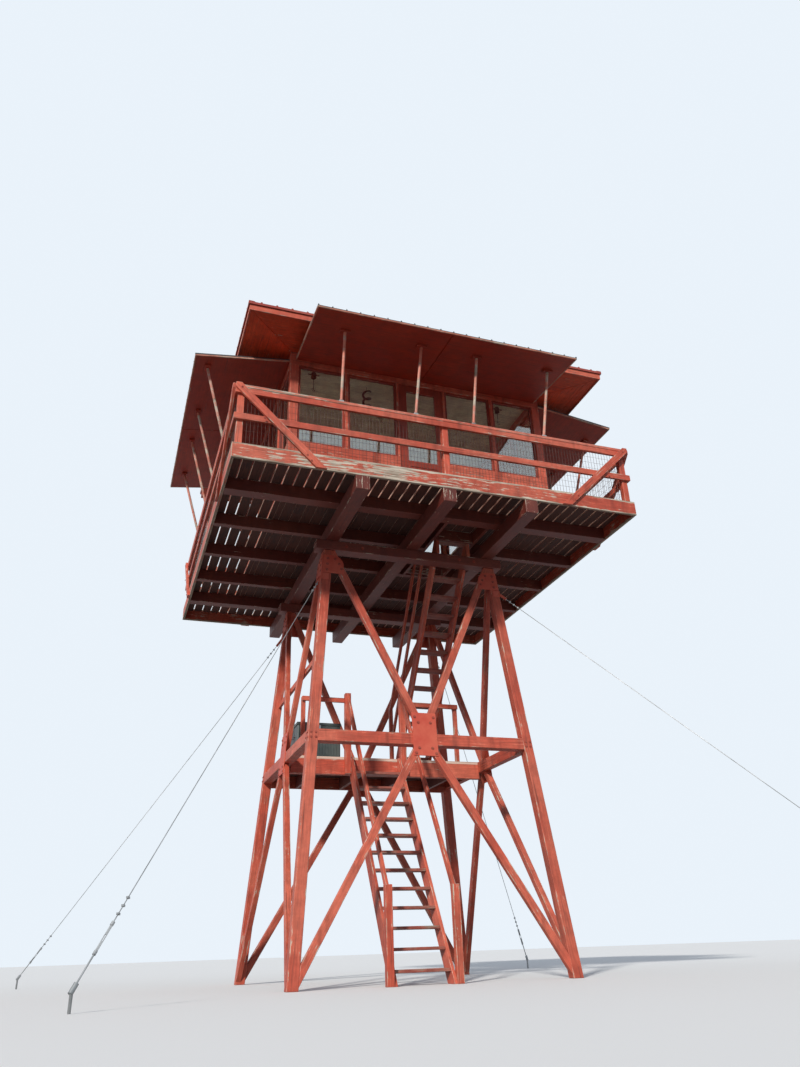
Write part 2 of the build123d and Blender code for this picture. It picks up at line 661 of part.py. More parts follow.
box_top = LANDING_Z + BOX_H
box_body = block(*BOX_X, *BOX_Y, LANDING_Z, box_top - BOX_LID_H)
rib_count = int((BOX_X[1] - BOX_X[0]) / BOX_RIB_PITCH)
for i in range(rib_count):
    x = BOX_X[0] + (i + 0.5) * (BOX_X[1] - BOX_X[0]) / rib_count
    box_body += block(x - BOX_RIB / 2, x + BOX_RIB / 2, BOX_Y[0] - BOX_RIB / 2, BOX_Y[0],
                      LANDING_Z, box_top - BOX_LID_H)
box_lid = block(BOX_X[0] - BOX_LID_LIP, BOX_X[1] + BOX_LID_LIP, BOX_Y[0] - BOX_LID_LIP,
                BOX_Y[1] + BOX_LID_LIP, box_top - BOX_LID_H, box_top)
write("storage_box", box_body)
write("storage_box_lid", box_lid)


# Stairs: each stringer is one outline in the YZ plane, pushed out by its thickness
def plank(outline, x0, x1):
    return extrude(Plane.YZ.offset(x0) * Polygon(*outline, align=None), amount=x1 - x0, dir=(1, 0, 0))


def stringer_pair(outline, centre, width):
    left = centre - width / 2
    right = centre + width / 2
    return [plank(outline, left, left + STRINGER_T), plank(outline, right - STRINGER_T, right)]


def make_treads(centre, width, spans):
    """Treads between the stringers, given as (back y, front y, top z)."""
    inner = width / 2 - STRINGER_T
    return [block(centre - inner, centre + inner, y0, y1, z - TREAD_T, z) for y0, y1, z in spans]


def lower_nose_y(z):
    """Front edge of the lower flight at a height."""
    return LOWER_NOSE_Y - LOWER_RUN * (LANDING_Z - z)


lower_back = STRINGER_D * math.hypot(1.0, LOWER_RUN)
end_z = LANDING_Z - (lower_back + LOWER_NOSE_Y) / LOWER_RUN
lower_outline = [(lower_nose_y(0), 0), (lower_nose_y(0) + lower_back, 0), (-FIT, end_z),
                 (-FIT, LANDING_Z), (LOWER_NOSE_Y, LANDING_Z)]
write("lower_stair_stringers", *stringer_pair(lower_outline, LOWER_X, LOWER_W))
lower_levels = [LANDING_Z - (k + 1) * LOWER_RISE for k in range(LOWER_TREADS)]
write("lower_stair_treads", *make_treads(
    LOWER_X, LOWER_W, [(lower_nose_y(z), lower_nose_y(z) + LOWER_TREAD_D, z) for z in lower_levels]))


def rail_outline(y0, z0, y1, z1, width):
    """Sloping rail with plumb ends, given by its top edge."""
    return [(y0, z0), (y1, z1), (y1, z1 - width), (y0, z0 - width)]


def make_lower_guard(newel_x):
    """Foot newel, handrail and top newel on one side of the lower flight, one joined piece."""
    foot_y = lower_nose_y(0) + NEWEL_W / 2
    x0 = newel_x - NEWEL_W / 2
    x1 = newel_x + NEWEL_W / 2
    guard = block(x0, x1, foot_y - NEWEL_W / 2, foot_y + NEWEL_W / 2, 0, NEWEL_TOP_Z)
    guard += block(x0, x1, -NEWEL_W, -FIT, LANDING_BEAM_BOTTOM, LANDING_RAIL_TOP + LANDING_RAIL_H)
    z0 = NEWEL_TOP_Z - HANDRAIL_DROP
    z1 = z0 + (-NEWEL_W - foot_y) / LOWER_RUN
    rail = rail_outline(foot_y, z0, -NEWEL_W, z1, HANDRAIL_W / math.sin(math.atan(LOWER_RUN)))
    return guard + plank(rail, newel_x - HANDRAIL_T / 2, newel_x + HANDRAIL_T / 2)


write("lower_stair_guards", *[make_lower_guard(x) for x in newel_xs])


# Upper flight climbs towards the front and is notched over the front cap beam
def upper_nose_y(z):
    return UPPER_FOOT_Y - UPPER_RUN * (z - LANDING_Z)


def upper_nose_z(y):
    return LANDING_Z + (UPPER_FOOT_Y - y) / UPPER_RUN


upper_under = UPPER_STRINGER_D * math.hypot(1.0, UPPER_RUN)
notch_y = -cap_y + CAP_W / 2 + FIT
notch_z = upper_nose_z(notch_y + upper_under)
head_y = HATCH_Y[0] + FIT
upper_outline = [(UPPER_FOOT_Y, LANDING_Z), (UPPER_FOOT_Y - upper_under, LANDING_Z),
                 (notch_y, notch_z), (notch_y, CAP_TOP + FIT), (head_y, CAP_TOP + FIT),
                 (head_y, upper_nose_z(head_y))]
write("upper_stair_stringers", *stringer_pair(upper_outline, UPPER_X, UPPER_W))
upper_levels = [LANDING_Z + UPPER_FIRST_RISE + k * UPPER_RISE for k in range(UPPER_TREADS)]
upper_treads = make_treads(UPPER_X, UPPER_W, [(max(upper_nose_y(z) - UPPER_TREAD_D, head_y),
                                               upper_nose_y(z), z) for z in upper_levels])
cap_room = block(-cap_x, cap_x, -cap_y - CAP_W / 2 - FIT, notch_y, CAP_BOTTOM, CAP_TOP + TREAD_T)
write("upper_stair_treads", *[only_solid(tread - cap_room) for tread in upper_treads])

upper_rail_x = UPPER_X - UPPER_W / 2 - UPPER_POST_W
upper_post_y = UPPER_FOOT_Y - UPPER_POST_W
upper_guard = block(upper_rail_x, upper_rail_x + UPPER_POST_W, upper_post_y, UPPER_FOOT_Y,
                    LANDING_Z, LANDING_Z + UPPER_RAIL_UPS[1])
upper_rail_drop = UPPER_RAIL_W / math.sin(math.atan(UPPER_RUN))
for up in UPPER_RAIL_UPS:
    end_y = upper_nose_y(FLOOR_BEAM_TOP - up)
    rail = [(upper_post_y, LANDING_Z + up), (end_y, FLOOR_BEAM_TOP),
            (end_y - upper_rail_drop * UPPER_RUN, FLOOR_BEAM_TOP),
            (upper_post_y, LANDING_Z + up - upper_rail_drop)]
    upper_guard += plank(rail, upper_rail_x, upper_rail_x + UPPER_RAIL_T)
write("upper_stair_guard", upper_guard)


# Guy cables from the leg tops to ground anchors
def guy_axis(name):
    sx, sy = CORNERS[name]
    corner = leg_half(GUY_TOP_Z) + LEG_W / 2
    reach = GUY_REACH[name]
    top = Vector(sx * corner, sy * corner, GUY_TOP_Z)
    foot = Vector(sx * reach, sy * reach, ANCHOR_EYE_Z)
    return top, foot, (foot - top).normalized()


def make_guy(name):
    """Wire, turnbuckle and eye rod in one line, end to end."""
    top, foot, along = guy_axis(name)
    wire_start = top + along * (GUY_STAND_OFF + GUY_SOCKET_L)
    wire_end = foot - along * (ANCHOR_SOCKET_L + TURNBUCKLE_ROD_L + TURNBUCKLE_L)
    screw_end = foot - along * (ANCHOR_SOCKET_L + TURNBUCKLE_ROD_L)
    rod_end = foot - along * ANCHOR_SOCKET_L
    return (rod(wire_start, wire_end, GUY_R), rod(wire_end, screw_end, TURNBUCKLE_R),
            rod(screw_end, rod_end, TURNBUCKLE_ROD_R))


def make_guy_shoe(name):
    """Steel angle round the outer corner of a leg, with the cable's socket on it."""
    sx, sy = CORNERS[name]
    top, foot, along = guy_axis(name)
    corner = leg_half(GUY_TOP_Z) + LEG_W / 2
    x0, x1 = sx * (corner - GUY_SHOE_W), sx * (corner + GUY_SHOE_T)
    y0, y1 = sy * (corner - GUY_SHOE_W), sy * (corner + GUY_SHOE_T)
    shoe = block(x0, x1, y0, y1, GUY_TOP_Z - GUY_SHOE_H / 2, GUY_TOP_Z + GUY_SHOE_H / 2)
    socket = rod(top - along * GUY_SOCKET_R, top + along * (GUY_STAND_OFF + GUY_SOCKET_L), GUY_SOCKET_R)
    return only_solid(shoe + socket - legs[name])


def make_anchor(name):
    """Ground rod with a socket on the cable's line."""
    top, foot, along = guy_axis(name)
    stake = rod((foot.X, foot.Y, 0), (foot.X, foot.Y, ANCHOR_EYE_Z), ANCHOR_R)
    return stake + rod(foot - along * ANCHOR_SOCKET_L, foot + along * ANCHOR_SOCKET_R, ANCHOR_SOCKET_R)


guys = [make_guy(name) for name in CORNERS]
write("guy_cables", *[cable for cable, turnbuckle, eye_rod in guys])
write("guy_turnbuckles", *[turnbuckle for cable, turnbuckle, eye_rod in guys])
write("guy_eye_rods", *[eye_rod for cable, turnbuckle, eye_rod in guys])
write("guy_shoes", *[make_guy_shoe(name) for name in CORNERS])
write("guy_anchors", *[make_anchor(name) for name in CORNERS])
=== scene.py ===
import math
import random

import bmesh
import bpy
from mathutils import Matrix, Vector


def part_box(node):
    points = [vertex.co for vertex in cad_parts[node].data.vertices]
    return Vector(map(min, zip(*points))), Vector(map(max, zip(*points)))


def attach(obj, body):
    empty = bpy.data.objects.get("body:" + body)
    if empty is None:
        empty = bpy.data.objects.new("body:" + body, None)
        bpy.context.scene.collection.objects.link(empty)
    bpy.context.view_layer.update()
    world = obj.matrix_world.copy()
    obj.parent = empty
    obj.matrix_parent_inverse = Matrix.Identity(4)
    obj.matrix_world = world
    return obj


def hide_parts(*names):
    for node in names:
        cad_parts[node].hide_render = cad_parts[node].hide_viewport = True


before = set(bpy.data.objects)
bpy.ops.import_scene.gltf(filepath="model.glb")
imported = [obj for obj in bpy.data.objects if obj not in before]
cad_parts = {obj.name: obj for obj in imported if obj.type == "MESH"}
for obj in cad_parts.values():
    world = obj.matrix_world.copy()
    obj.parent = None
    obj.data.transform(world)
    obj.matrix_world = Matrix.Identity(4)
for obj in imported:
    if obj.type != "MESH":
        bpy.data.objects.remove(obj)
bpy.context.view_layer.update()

# Metres in the tower's frame: origin on the ground between the legs, front towards -Y, +Z up
BODY = "root"
WELD = 1e-5                  # merges the loose triangles of a node's mesh
SHARP = math.radians(30)     # edges bent more than this are worked as edges
END_GRAIN = 0.8              # a face this square to the grain is a sawn end
GRAIN_SPAN = 60              # metres of grain that the boards are cut from
TURNS = [Matrix.Rotation(math.radians(90 * k), 4, "Z") for k in range(4)]
FRONT, RIGHT, BACK, LEFT = TURNS
UP = Vector((0, 0, 1))

# Levels and reaches read from the frame
legs_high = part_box("legs")[1]
cap_low, cap_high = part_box("cap_beams")
rail_low, rail_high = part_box("railing_front_back")
catwalk_low, catwalk_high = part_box("catwalk_front_back")
cab_low, cab_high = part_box("cab_floor")
hatch_low, hatch_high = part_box("hatch_frame")
door_low, door_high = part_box("door")
ceiling_low, ceiling_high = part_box("ceiling")
soffit_low, soffit_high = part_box("soffit")
roof_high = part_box("roof_front_back")[1]
landing_low, landing_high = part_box("landing_floor")
chest_low, chest_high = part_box("storage_box")
DECK_TOP = rail_low.z
DECK_HALF = rail_high.x
RIM_IN = catwalk_high.x
CAB_HALF = cab_high.x
WALL_IN = ceiling_high.x

# Decking and boards
EASED = 0.003                # usual width of a board's worn edge
SEAM = 0.0005                # between boards laid tight
UNEVEN = 0.002               # most that one floor board lies below another
DECK_PITCH = 0.160
DECK_GAP = 0.020
FLOOR_GAP = 0.0015
LANDING_PITCH = 0.150
TRIMMER = 0.050              # hatch frame timber
HATCH_Y = (-1.440, -0.160)

# Cab
SIDING = 0.128
CEILING_ROWS = 40
SOFFIT_ROWS = 6
MITRE_GAP = 0.004
SASH = 0.035                 # stiles and rails of the windows
DOOR_STILE = 0.140
DOOR_PANEL = (0.180, 0.660)  # foot and head of its moulding above the door's foot
BEAD = 0.022
BEAD_OUT = 0.010
KNOB_IN = 0.065              # from the door's edge
KNOB_UP = 0.950
KNOB_OUT = 0.055
KNOB = 0.027
SPINDLE = (0.009, 0.045)     # radius and length
KNOB_PLATE = (0.022, 0.003, 0.080)    # half width, thickness, half height
HINGE_UPS = (0.25, 1.05, 1.90)
HINGE_OFF = (0.004, -0.006)  # from the door's edge and face
HINGE_PIN = (0.007, 0.100)   # radius and length

# Railing and its wire mesh
POST = 0.090
TOP_RAIL = 0.140
CAP_PLANK = 0.046
GROOVE = 0.007
MID_RAIL = 0.095
MID_TOP = 0.470
WIRE = 0.0021
CROSS_WIRE = 0.0016
WIRE_PITCH = 0.050
WIRE_ROWS = 0.100
MESH_UP = 0.004              # above the deck
FIRST_ROW = 0.020            # above the foot of the mesh

# Roof and shutters
ROOF_SLOPE = math.radians(18)
ROOF_RIB_PITCH = 0.229
ROOF_RIB_W = 0.038
ROOF_RIB = 0.016
ROOF_RIB_SUNK = 0.004        # how far a rib is let into the sheet
ROOF_RIB_TAPER = 0.55        # a rib's width on top, over that at its foot
ROOF_RIB_BACK = 0.002        # from the eave
SHUTTER_HALF = 2.058
SHUTTER_OUT = 1.440
SHUTTER_T = 0.030
SHEET_T = 0.008
SHUTTER_SEAM = 0.008
RIBS = 21
RIB_W = 0.022
RIB_H = 0.018
RIB_TAPER = 0.6
SUNK = 0.001                 # how far ribs and panels are let in
EDGE_STRIP = 0.020
HINGE_OUT = CAB_HALF + 0.008
HINGE_Z = DECK_TOP + 2.288
TILTS = (6.5, 8.1, 8.1, 8.1)

# Guys
ROPE = 0.0055
ROPE_LAY = 0.100
STRANDS = 6
VALLEY = 0.66                # radius between two strands, over the rope's
CLIPS = 3
FIRST_CLIP = 0.080           # from the end of the rope
CLIP_PITCH = 0.085
SADDLE = (0.028, 0.018, 0.020)
CLIP_LEG = 0.003
CLIP_LEG_OUT = 0.011
CLIP_LEG_HALF = 0.016
COLLAR = (0.016, 0.036)      # radius and length
SCREW = (0.008, 0.125)
SIDE_BAR = 0.0045
SIDE_BAR_OUT = 0.0115
SIDE_BAR_IN = 0.020          # from the end of the turnbuckle

# Hasp and handles of the storage box
HASP = (0.020, 0.070)        # half width and height
HASP_OUT = (0.004, 0.012)    # its back and its face, from the box
HASP_PIN = (0.008, 0.010, 0.055)      # radius, length, and how far down
HANDLE = 0.005
HANDLE_OUT = 0.030
HANDLE_HALF = 0.060
HANDLE_DROP = 0.150

# Bolts on the leaning faces: distance from the middle and height
LEG = 0.140
PLATE = 0.010
GIRT_Z = 2.960
GIRT_BOLT = 0.033            # from the middle of the leg, both ways
PLATE_BOLTS = ((0.090, 3.190), (0.095, 2.835), (0.140, 3.268), (0.145, 2.765), (1.165, 5.560),
               (1.128, 5.480), (1.225, 5.640))
LEG_BOLT_LEVELS = (5.640, 5.545, 5.450)
CAP_BOLTS = (-1.048, -0.797, 0.797, 1.048)
STRUT_BOLTS = ((2.965, 7.245), (2.640, 6.800), (2.050, 6.320), (1.990, 6.240))
STRUT_T = 0.040

# Small things hung from the ceiling
HANGERS = ((-1.700, -1.830), (1.530, -1.790))
HANGER_DROP = 0.330
ROSE = ((0.045, 0.030, 0.030), (0.042, 0.042, 0.070))     # radius below, above, and height
CROSS_BAR = (0.090, 0.040, 0.008)     # half length, how far down, and radius
HOOK_TOP = 0.090
HOOK = 0.025
HOOK_WIRE = 0.006
SPINNER = (-0.780, -1.700)
STRING = 0.080
STRIP = (0.036, 0.003, 0.012)
COIL = 0.060
COIL_FALL = 0.350
COIL_TURN = math.radians(900)
COIL_STEPS = 60


# Small builders
def box_in(bm, low, high, turn=FRONT):
    """Adds a block between two corners, turned with the side it belongs to."""
    middle = [(a + b) / 2 for a, b in zip(low, high)]
    size = [abs(b - a) for a, b in zip(low, high)]
    place = turn @ Matrix.Translation(middle) @ Matrix.Diagonal((*size, 1))
    return bmesh.ops.create_cube(bm, size=1, matrix=place)["verts"]


def stand(place, outward):
    """Matrix at a point with its Z along a direction."""
    return Matrix.Translation(place) @ Vector(outward).to_track_quat("Z", "Y").to_matrix().to_4x4()


def drum_in(bm, place, foot, top, height, sides=16):
    """Adds a drum with its middle at a place, from the radius at its foot and at its top."""
    bmesh.ops.create_cone(bm, cap_ends=True, segments=sides, radius1=foot, radius2=top, depth=height,
                          matrix=place)


def rod_in(bm, start, end, radius, sides=10, turn=FRONT):
    """Adds a round bar between two points, turned with its side."""
    start, end = turn @ Vector(start), turn @ Vector(end)
    along = end - start
    drum_in(bm, stand((start + end) / 2, along), radius, radius, along.length, sides)


def sweep_face(bm, face, centre, axis, drop, angle, steps):
    """Draws a face out into a bar that turns about an axis and drops a little at each step."""
    bmesh.ops.spin(bm, geom=[face, *face.edges, *face.verts], cent=centre, axis=axis, dvec=drop,
                   angle=angle, steps=steps, use_merge=False)


def fill_holes(bm):
    """Closes every open rim of a mesh."""
    bmesh.ops.holes_fill(bm, edges=[e for e in bm.edges if e.is_boundary])


def mesh_of(bm, name):
    """Turns a finished bmesh into a mesh and lets it go."""
    mesh = bpy.data.meshes.new(name)
    bm.to_mesh(mesh)
    bm.free()
    return mesh


def gather(parts):
    """One mesh of several finished ones, which stay apart where they touch."""
    whole = bmesh.new()
    for part in parts:
        mesh = mesh_of(part, "part")
        whole.from_mesh(mesh)
        bpy.data.meshes.remove(mesh)
    return whole


def solid_ranges(bm):
    """First and last face of each solid: its faces follow one another until no side is open."""
    same = bmesh.ops.find_doubles(bm, verts=bm.verts, dist=WELD)["targetmap"]
    open_sides = set()
    ranges = []
    first = 0
    for last, face in enumerate(bm.faces):
        ring = [same.get(v, v) for v in face.verts]
        for a, b in zip(ring, ring[1:] + ring[:1]):
            if (b, a) in open_sides:
                open_sides.remove((b, a))
            else:
                open_sides.add((a, b))
        if not open_sides:
            ranges.append((first, last))
            first = last + 1
    return ranges


def node_mesh(name, edge=0):
    """A copy of a node's solids, each merged, its flat faces made whole and its edges softened."""
    loose = bmesh.new()
    loose.from_mesh(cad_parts[name].data)
    solids = []
    for first, last in solid_ranges(loose):
        solid = loose.copy()
        others = [face for i, face in enumerate(solid.faces) if not first <= i <= last]
        bmesh.ops.delete(solid, geom=others, context="FACES")
        bmesh.ops.remove_doubles(solid, verts=solid.verts, dist=WELD)
        bmesh.ops.dissolve_limit(solid, angle_limit=math.radians(0.5), verts=solid.verts,
                                 edges=solid.edges)
        if edge:
            soften(solid, edge)
        solids.append(solid)
    loose.free()
    return gather(solids)


def corners(group):
    """The vertices of a group of faces, each once and always in the same order."""
    return list(dict.fromkeys(v for face in group for v in face.verts))


def islands(bm):
    """Groups of faces that hang together."""
    left = set(bm.faces)
    groups = []
    for first in bm.faces:
        if first not in left:
            continue
        left.remove(first)
        group = [first]
        for face in group:
            for side in face.edges:
                for other in side.link_faces:
                    if other in left:
                        left.remove(other)
                        group.append(other)
        groups.append(group)
    return groups


def island_boxes(name):
    """Lowest and highest corner of each solid of a node."""
    bm = node_mesh(name)
    boxes = []
    for group in islands(bm):
        points = [v.co for v in corners(group)]
        low = Vector([min(p[i] for p in points) for i in range(3)])
        high = Vector([max(p[i] for p in points) for i in range(3)])
        boxes.append((low, high))
    bm.free()
    return sorted(boxes, key=lambda b: tuple(round(c, 3) for c in b[0]))


def keep_islands(bm, wanted):
    """Drops every solid whose middle fails a test."""
    for group in islands(bm):
        verts = corners(group)
        middle = sum((v.co for v in verts), Vector()) / len(verts)
        if not wanted(middle):
            bmesh.ops.delete(bm, geom=verts, context="VERTS")


def soften(bm, width=EASED):
    """Takes every sharp edge off a little, as worn and planed timber has it."""
    edges = [e for e in bm.edges if e.is_manifold and e.calc_face_angle(0) > SHARP]
    bmesh.ops.bevel(bm, geom=edges, offset=width, offset_type="OFFSET", segments=1, profile=0.5,
                    affect="EDGES", clamp_overlap=True, material=-1)


def grain_of_face(face, layer, start):
    """Along the grain, across it from the middle, and the half width, for each corner of a face."""
    longest = max(face.edges, key=lambda e: e.calc_length())
    along = longest.verts[1].co - longest.verts[0].co
    if along.length < WELD:
        return
    along.normalize()
    across = face.normal.cross(along)
    spread = [across.dot(v.co) for v in face.verts]
    middle = (min(spread) + max(spread)) / 2
    half = (max(spread) - min(spread)) / 2
    for loop in face.loops:
        loop[layer] = (start + along.dot(loop.vert.co), across.dot(loop.vert.co) - middle, half)


def write_grain(bm, seed):
    """Gives each board its own stretch of grain and its own tone, and marks its sawn ends."""
    bm.normal_update()
    dice = random.Random(seed)
    grain = bm.loops.layers.float_vector.new("grain")
    board = bm.loops.layers.float_vector.new("board")
    for group in islands(bm):
        start = dice.uniform(0, GRAIN_SPAN)
        tone = dice.random()
        longest = max((e for face in group for e in face.edges), key=lambda e: e.calc_length())
        along = (longest.verts[1].co - longest.verts[0].co).normalized()
        for face in group:
            sawn = float(abs(face.normal.dot(along)) > END_GRAIN)
            grain_of_face(face, grain, start)
            for loop in face.loops:
                loop[board] = (tone, sawn, 0)


def add_object(name, data):
    """Puts data into the scene as an object."""
    thing = bpy.data.objects.new(name, data)
    bpy.context.scene.collection.objects.link(thing)
    return thing


def add_piece(name, bm, look, replaced=(), seed=1):
    """Makes the finished mesh a piece on the tower."""
    write_grain(bm, seed)
    mesh = mesh_of(bm, name)
    mesh.materials.append(LOOKS[look])
    for face in mesh.polygons:
        face.use_smooth = True
    mesh.set_sharp_from_angle(angle=SHARP)
    piece = add_object(name, mesh)
    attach(piece, BODY)
    if replaced:
        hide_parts(*replaced)


# Node trees
def feed(tree, inputs, values):
    """Links or fills inputs by name or number."""
    for key, value in values.items():
        if isinstance(value, bpy.types.NodeSocket):
            tree.links.new(value, inputs[key])
        else:
            inputs[key].default_value = value


def put(tree, kind, values=None, **settings):
    """Adds a node, sets it up and feeds its inputs."""
    node = tree.nodes.new(kind)
    for key, value in settings.items():
        setattr(node, key, value)
    feed(tree, node.inputs, values or {})
    return node


def calc(tree, operation, a, b=0.0, clamp=False):
    """Sum, product or the like of two numbers."""
    return put(tree, "ShaderNodeMath", {0: a, 1: b}, operation=operation, use_clamp=clamp).outputs[0]


def weigh(tree, *terms, start=0.0):
    """Sum of values, each times its weight, on top of a start."""
    total = start
    for value, weight in terms:
        total = calc(tree, "ADD", total, calc(tree, "MULTIPLY", value, weight))
    return total


def ease(tree, value, low, high, to_low=0.0, to_high=1.0):
    """Smooth step between two limits."""
    values = {"Value": value, "From Min": low, "From Max": high, "To Min": to_low, "To Max": to_high}
    return put(tree, "ShaderNodeMapRange", values, interpolation_type="SMOOTHSTEP").outputs["Result"]


def mix(tree, factor, a, b, mode="MIX"):
    """Blend of two colours, which are the node's inputs 6 and 7."""
    return put(tree, "ShaderNodeMix", {0: factor, 6: a, 7: b}, data_type="RGBA",
               blend_type=mode).outputs[2]


def tone_down(tree, colour, value):
    """Colour times a value."""
    grey = put(tree, "ShaderNodeCombineColor", {0: value, 1: value, 2: value}).outputs[0]
    return mix(tree, 1.0, colour, grey, "MULTIPLY")


def noise(tree, vector, scale, detail=4.0, rough=0.55, twist=0.0):
    values = {"Vector": vector, "Scale": scale, "Detail": detail, "Roughness": rough,
              "Distortion": twist}
    return put(tree, "ShaderNodeTexNoise", values).outputs[0]


def stretch(tree, vector, scale):
    return put(tree, "ShaderNodeVectorMath", {0: vector, 1: scale}, operation="MULTIPLY").outputs[0]


def split(tree, vector):
    """The three numbers of a vector."""
    return put(tree, "ShaderNodeSeparateXYZ", {0: vector}).outputs


def along_grain(tree, vector, along, across, layer=0.0):
    """Grain coordinates with their own scale along and across the board."""
    parts = split(tree, vector)
    values = {0: calc(tree, "MULTIPLY", parts[0], along), 1: calc(tree, "MULTIPLY", parts[1], across),
              2: layer}
    return put(tree, "ShaderNodeCombineXYZ", values).outputs[0]


def new_group(name, inputs, outputs):
    """Empty node group: inputs by name and value, which are vectors or numbers, and number outputs."""
    tree = bpy.data.node_groups.new(name, "ShaderNodeTree")
    for label, value in inputs.items():
        kind = "NodeSocketVector" if isinstance(value, tuple) else "NodeSocketFloat"
        tree.interface.new_socket(label, in_out="INPUT", socket_type=kind).default_value = value
    for label in outputs:
        tree.interface.new_socket(label, in_out="OUTPUT", socket_type="NodeSocketFloat")
    source = tree.nodes.new("NodeGroupInput").outputs
    result = tree.nodes.new("NodeGroupOutput").inputs
    return tree, source, result


def use_group(tree, group, **links):
    """Places a node group; an input's spaces are written as underscores."""
    named = {key.replace("_", " "): value for key, value in links.items()}
    return put(tree, "ShaderNodeGroup", named, node_tree=group).outputs


def make_board_grain():
    """Fibres, drying cracks and the distance from the nearest long edge of a board."""
    tree, source, result = new_group("board grain", {"Grain": (0, 0, 0), "Fineness": 1.0},
                                     ("Fibre", "Cracks", "Rim"))
    scaled = put(tree, "ShaderNodeVectorMath", {0: source["Grain"], "Scale": source["Fineness"]},
                 operation="SCALE").outputs[0]
    fibre = noise(tree, along_grain(tree, scaled, 2.4, 42.0), 1.0, 6.0, 0.65, 0.35)
    cracks = noise(tree, along_grain(tree, scaled, 1.3, 60.0, 3.0), 1.0, 2.0)
    across, half = split(tree, source["Grain"])[1:]
    feed(tree, result, {"Fibre": fibre, "Cracks": ease(tree, cracks, 0.63, 0.70),
                        "Rim": calc(tree, "SUBTRACT", half, calc(tree, "ABSOLUTE", across))})
    return tree


def make_paint_wear():
    """Where old paint has flaked off along the grain, and where it has only gone thin; the bared edges
    also serve as painted highlights along the edges.
    """
    inputs = {"Position": (0, 0, 0), "Grain": (0, 0, 0), "Fibre": 0.5, "Rim": 1.0, "Amount": 0.0,
              "Rim Width": 0.01, "Rim Wear": 0.07, "Patch Scale": 3.0}
    tree, source, result = new_group("paint wear", inputs, ("Bare", "Thin"))
    patch = noise(tree, source["Position"], source["Patch Scale"], 7.0, 0.66)
    flakes = noise(tree, along_grain(tree, source["Grain"], 5.0, 46.0, 7.0), 1.0, 6.0, 0.64, 0.5)
    # Edges: worn paint, and also painted highlights along the lit edges
    rim = ease(tree, source["Rim"], 0.0, source["Rim Width"], 1.0, 0.0)
    score = weigh(tree, (patch, 0.36), (flakes, 0.40), (source["Fibre"], 0.24),
                  (rim, source["Rim Wear"]), start=source["Amount"])
    feed(tree, result, {"Bare": ease(tree, score, 0.610, 0.630), "Thin": ease(tree, score, 0.53, 0.62)})
    return tree


def make_weather():
    """Broad fading, blotches and dark run-off streaks."""
    tree, source, result = new_group("weather", {"Position": (0, 0, 0), "Amount": 0.5},
                                     ("Fade", "Dirt", "Blotch"))
    run = noise(tree, stretch(tree, source["Position"], (8.0, 8.0, 1.1)), 1.0, 6.0, 0.62)
    dirt = calc(tree, "MULTIPLY", ease(tree, run, 0.47, 0.72), source["Amount"])
    broad = noise(tree, source["Position"], 0.9, 4.0, 0.5)
    blotch = noise(tree, source["Position"], 7.0, 6.0, 0.65)
    feed(tree, result, {"Fade": ease(tree, broad, 0.38, 0.64), "Dirt": dirt,
                        "Blotch": ease(tree, blotch, 0.3, 0.7, 0.84, 1.14)})
    return tree


def make_metal_age():
    """Rust specks, dull bloom and a fine tooth for old metal."""
    tree, source, result = new_group("metal age", {"Position": (0, 0, 0), "Rust": 0.0},
                                     ("Rusty", "Bloom", "Tooth"))
    specks = noise(tree, source["Position"], 26.0, 8.0, 0.7)
    spread = noise(tree, source["Position"], 3.2, 5.0, 0.6)
    score = weigh(tree, (specks, 0.6), (spread, 0.4), start=source["Rust"])
    feed(tree, result, {"Rusty": ease(tree, score, 0.58, 0.66), "Bloom": ease(tree, spread, 0.35, 0.7),
                        "Tooth": noise(tree, source["Position"], 120.0, 3.0)})
    return tree


board_grain = make_board_grain()
paint_wear = make_paint_wear()
weather = make_weather()
metal_age = make_metal_age()


# Materials
LOOKS = {}


def new_material(name, **values):
    """New look, its plain values by input name: gives its tree, shader inputs and coordinates."""
    material = bpy.data.materials.new(name)
    LOOKS[name] = material
    material.use_nodes = True
    tree = material.node_tree
    surface = tree.nodes["Principled BSDF"].inputs
    feed(tree, surface, {key.replace("_", " "): value for key, value in values.items()})
    return tree, surface, put(tree, "ShaderNodeTexCoord").outputs["Object"]


def rgb(red, green, blue):
    """Colour from the 0 to 255 values that a screen shows."""
    def linear(c):
        c /= 255
        return c / 12.92 if c <= 0.04045 else ((c + 0.055) / 1.055) ** 2.4
    return (linear(red), linear(green), linear(blue), 1.0)


PALE_WOOD = rgb(210, 200, 184)
GREY_WOOD = rgb(128, 108, 92)
STAIN = rgb(84, 30, 20)
CRACK = rgb(50, 20, 14)
SAWN_WEAR = 0.05             # more wear on sawn ends


def board_data(tree):
    """Grain coordinates, a board's tone, and one on its sawn ends."""
    grain = put(tree, "ShaderNodeAttribute", attribute_name="grain").outputs["Vector"]
    board = put(tree, "ShaderNodeAttribute", attribute_name="board").outputs["Vector"]
    tone, sawn = split(tree, board)[:2]
    return grain, tone, sawn


def relief_of(tree, height, depth):
    """Normal of a relief with a given depth in metres."""
    values = {"Height": height, "Strength": 1.0, "Distance": depth}
    return put(tree, "ShaderNodeBump", values).outputs["Normal"]


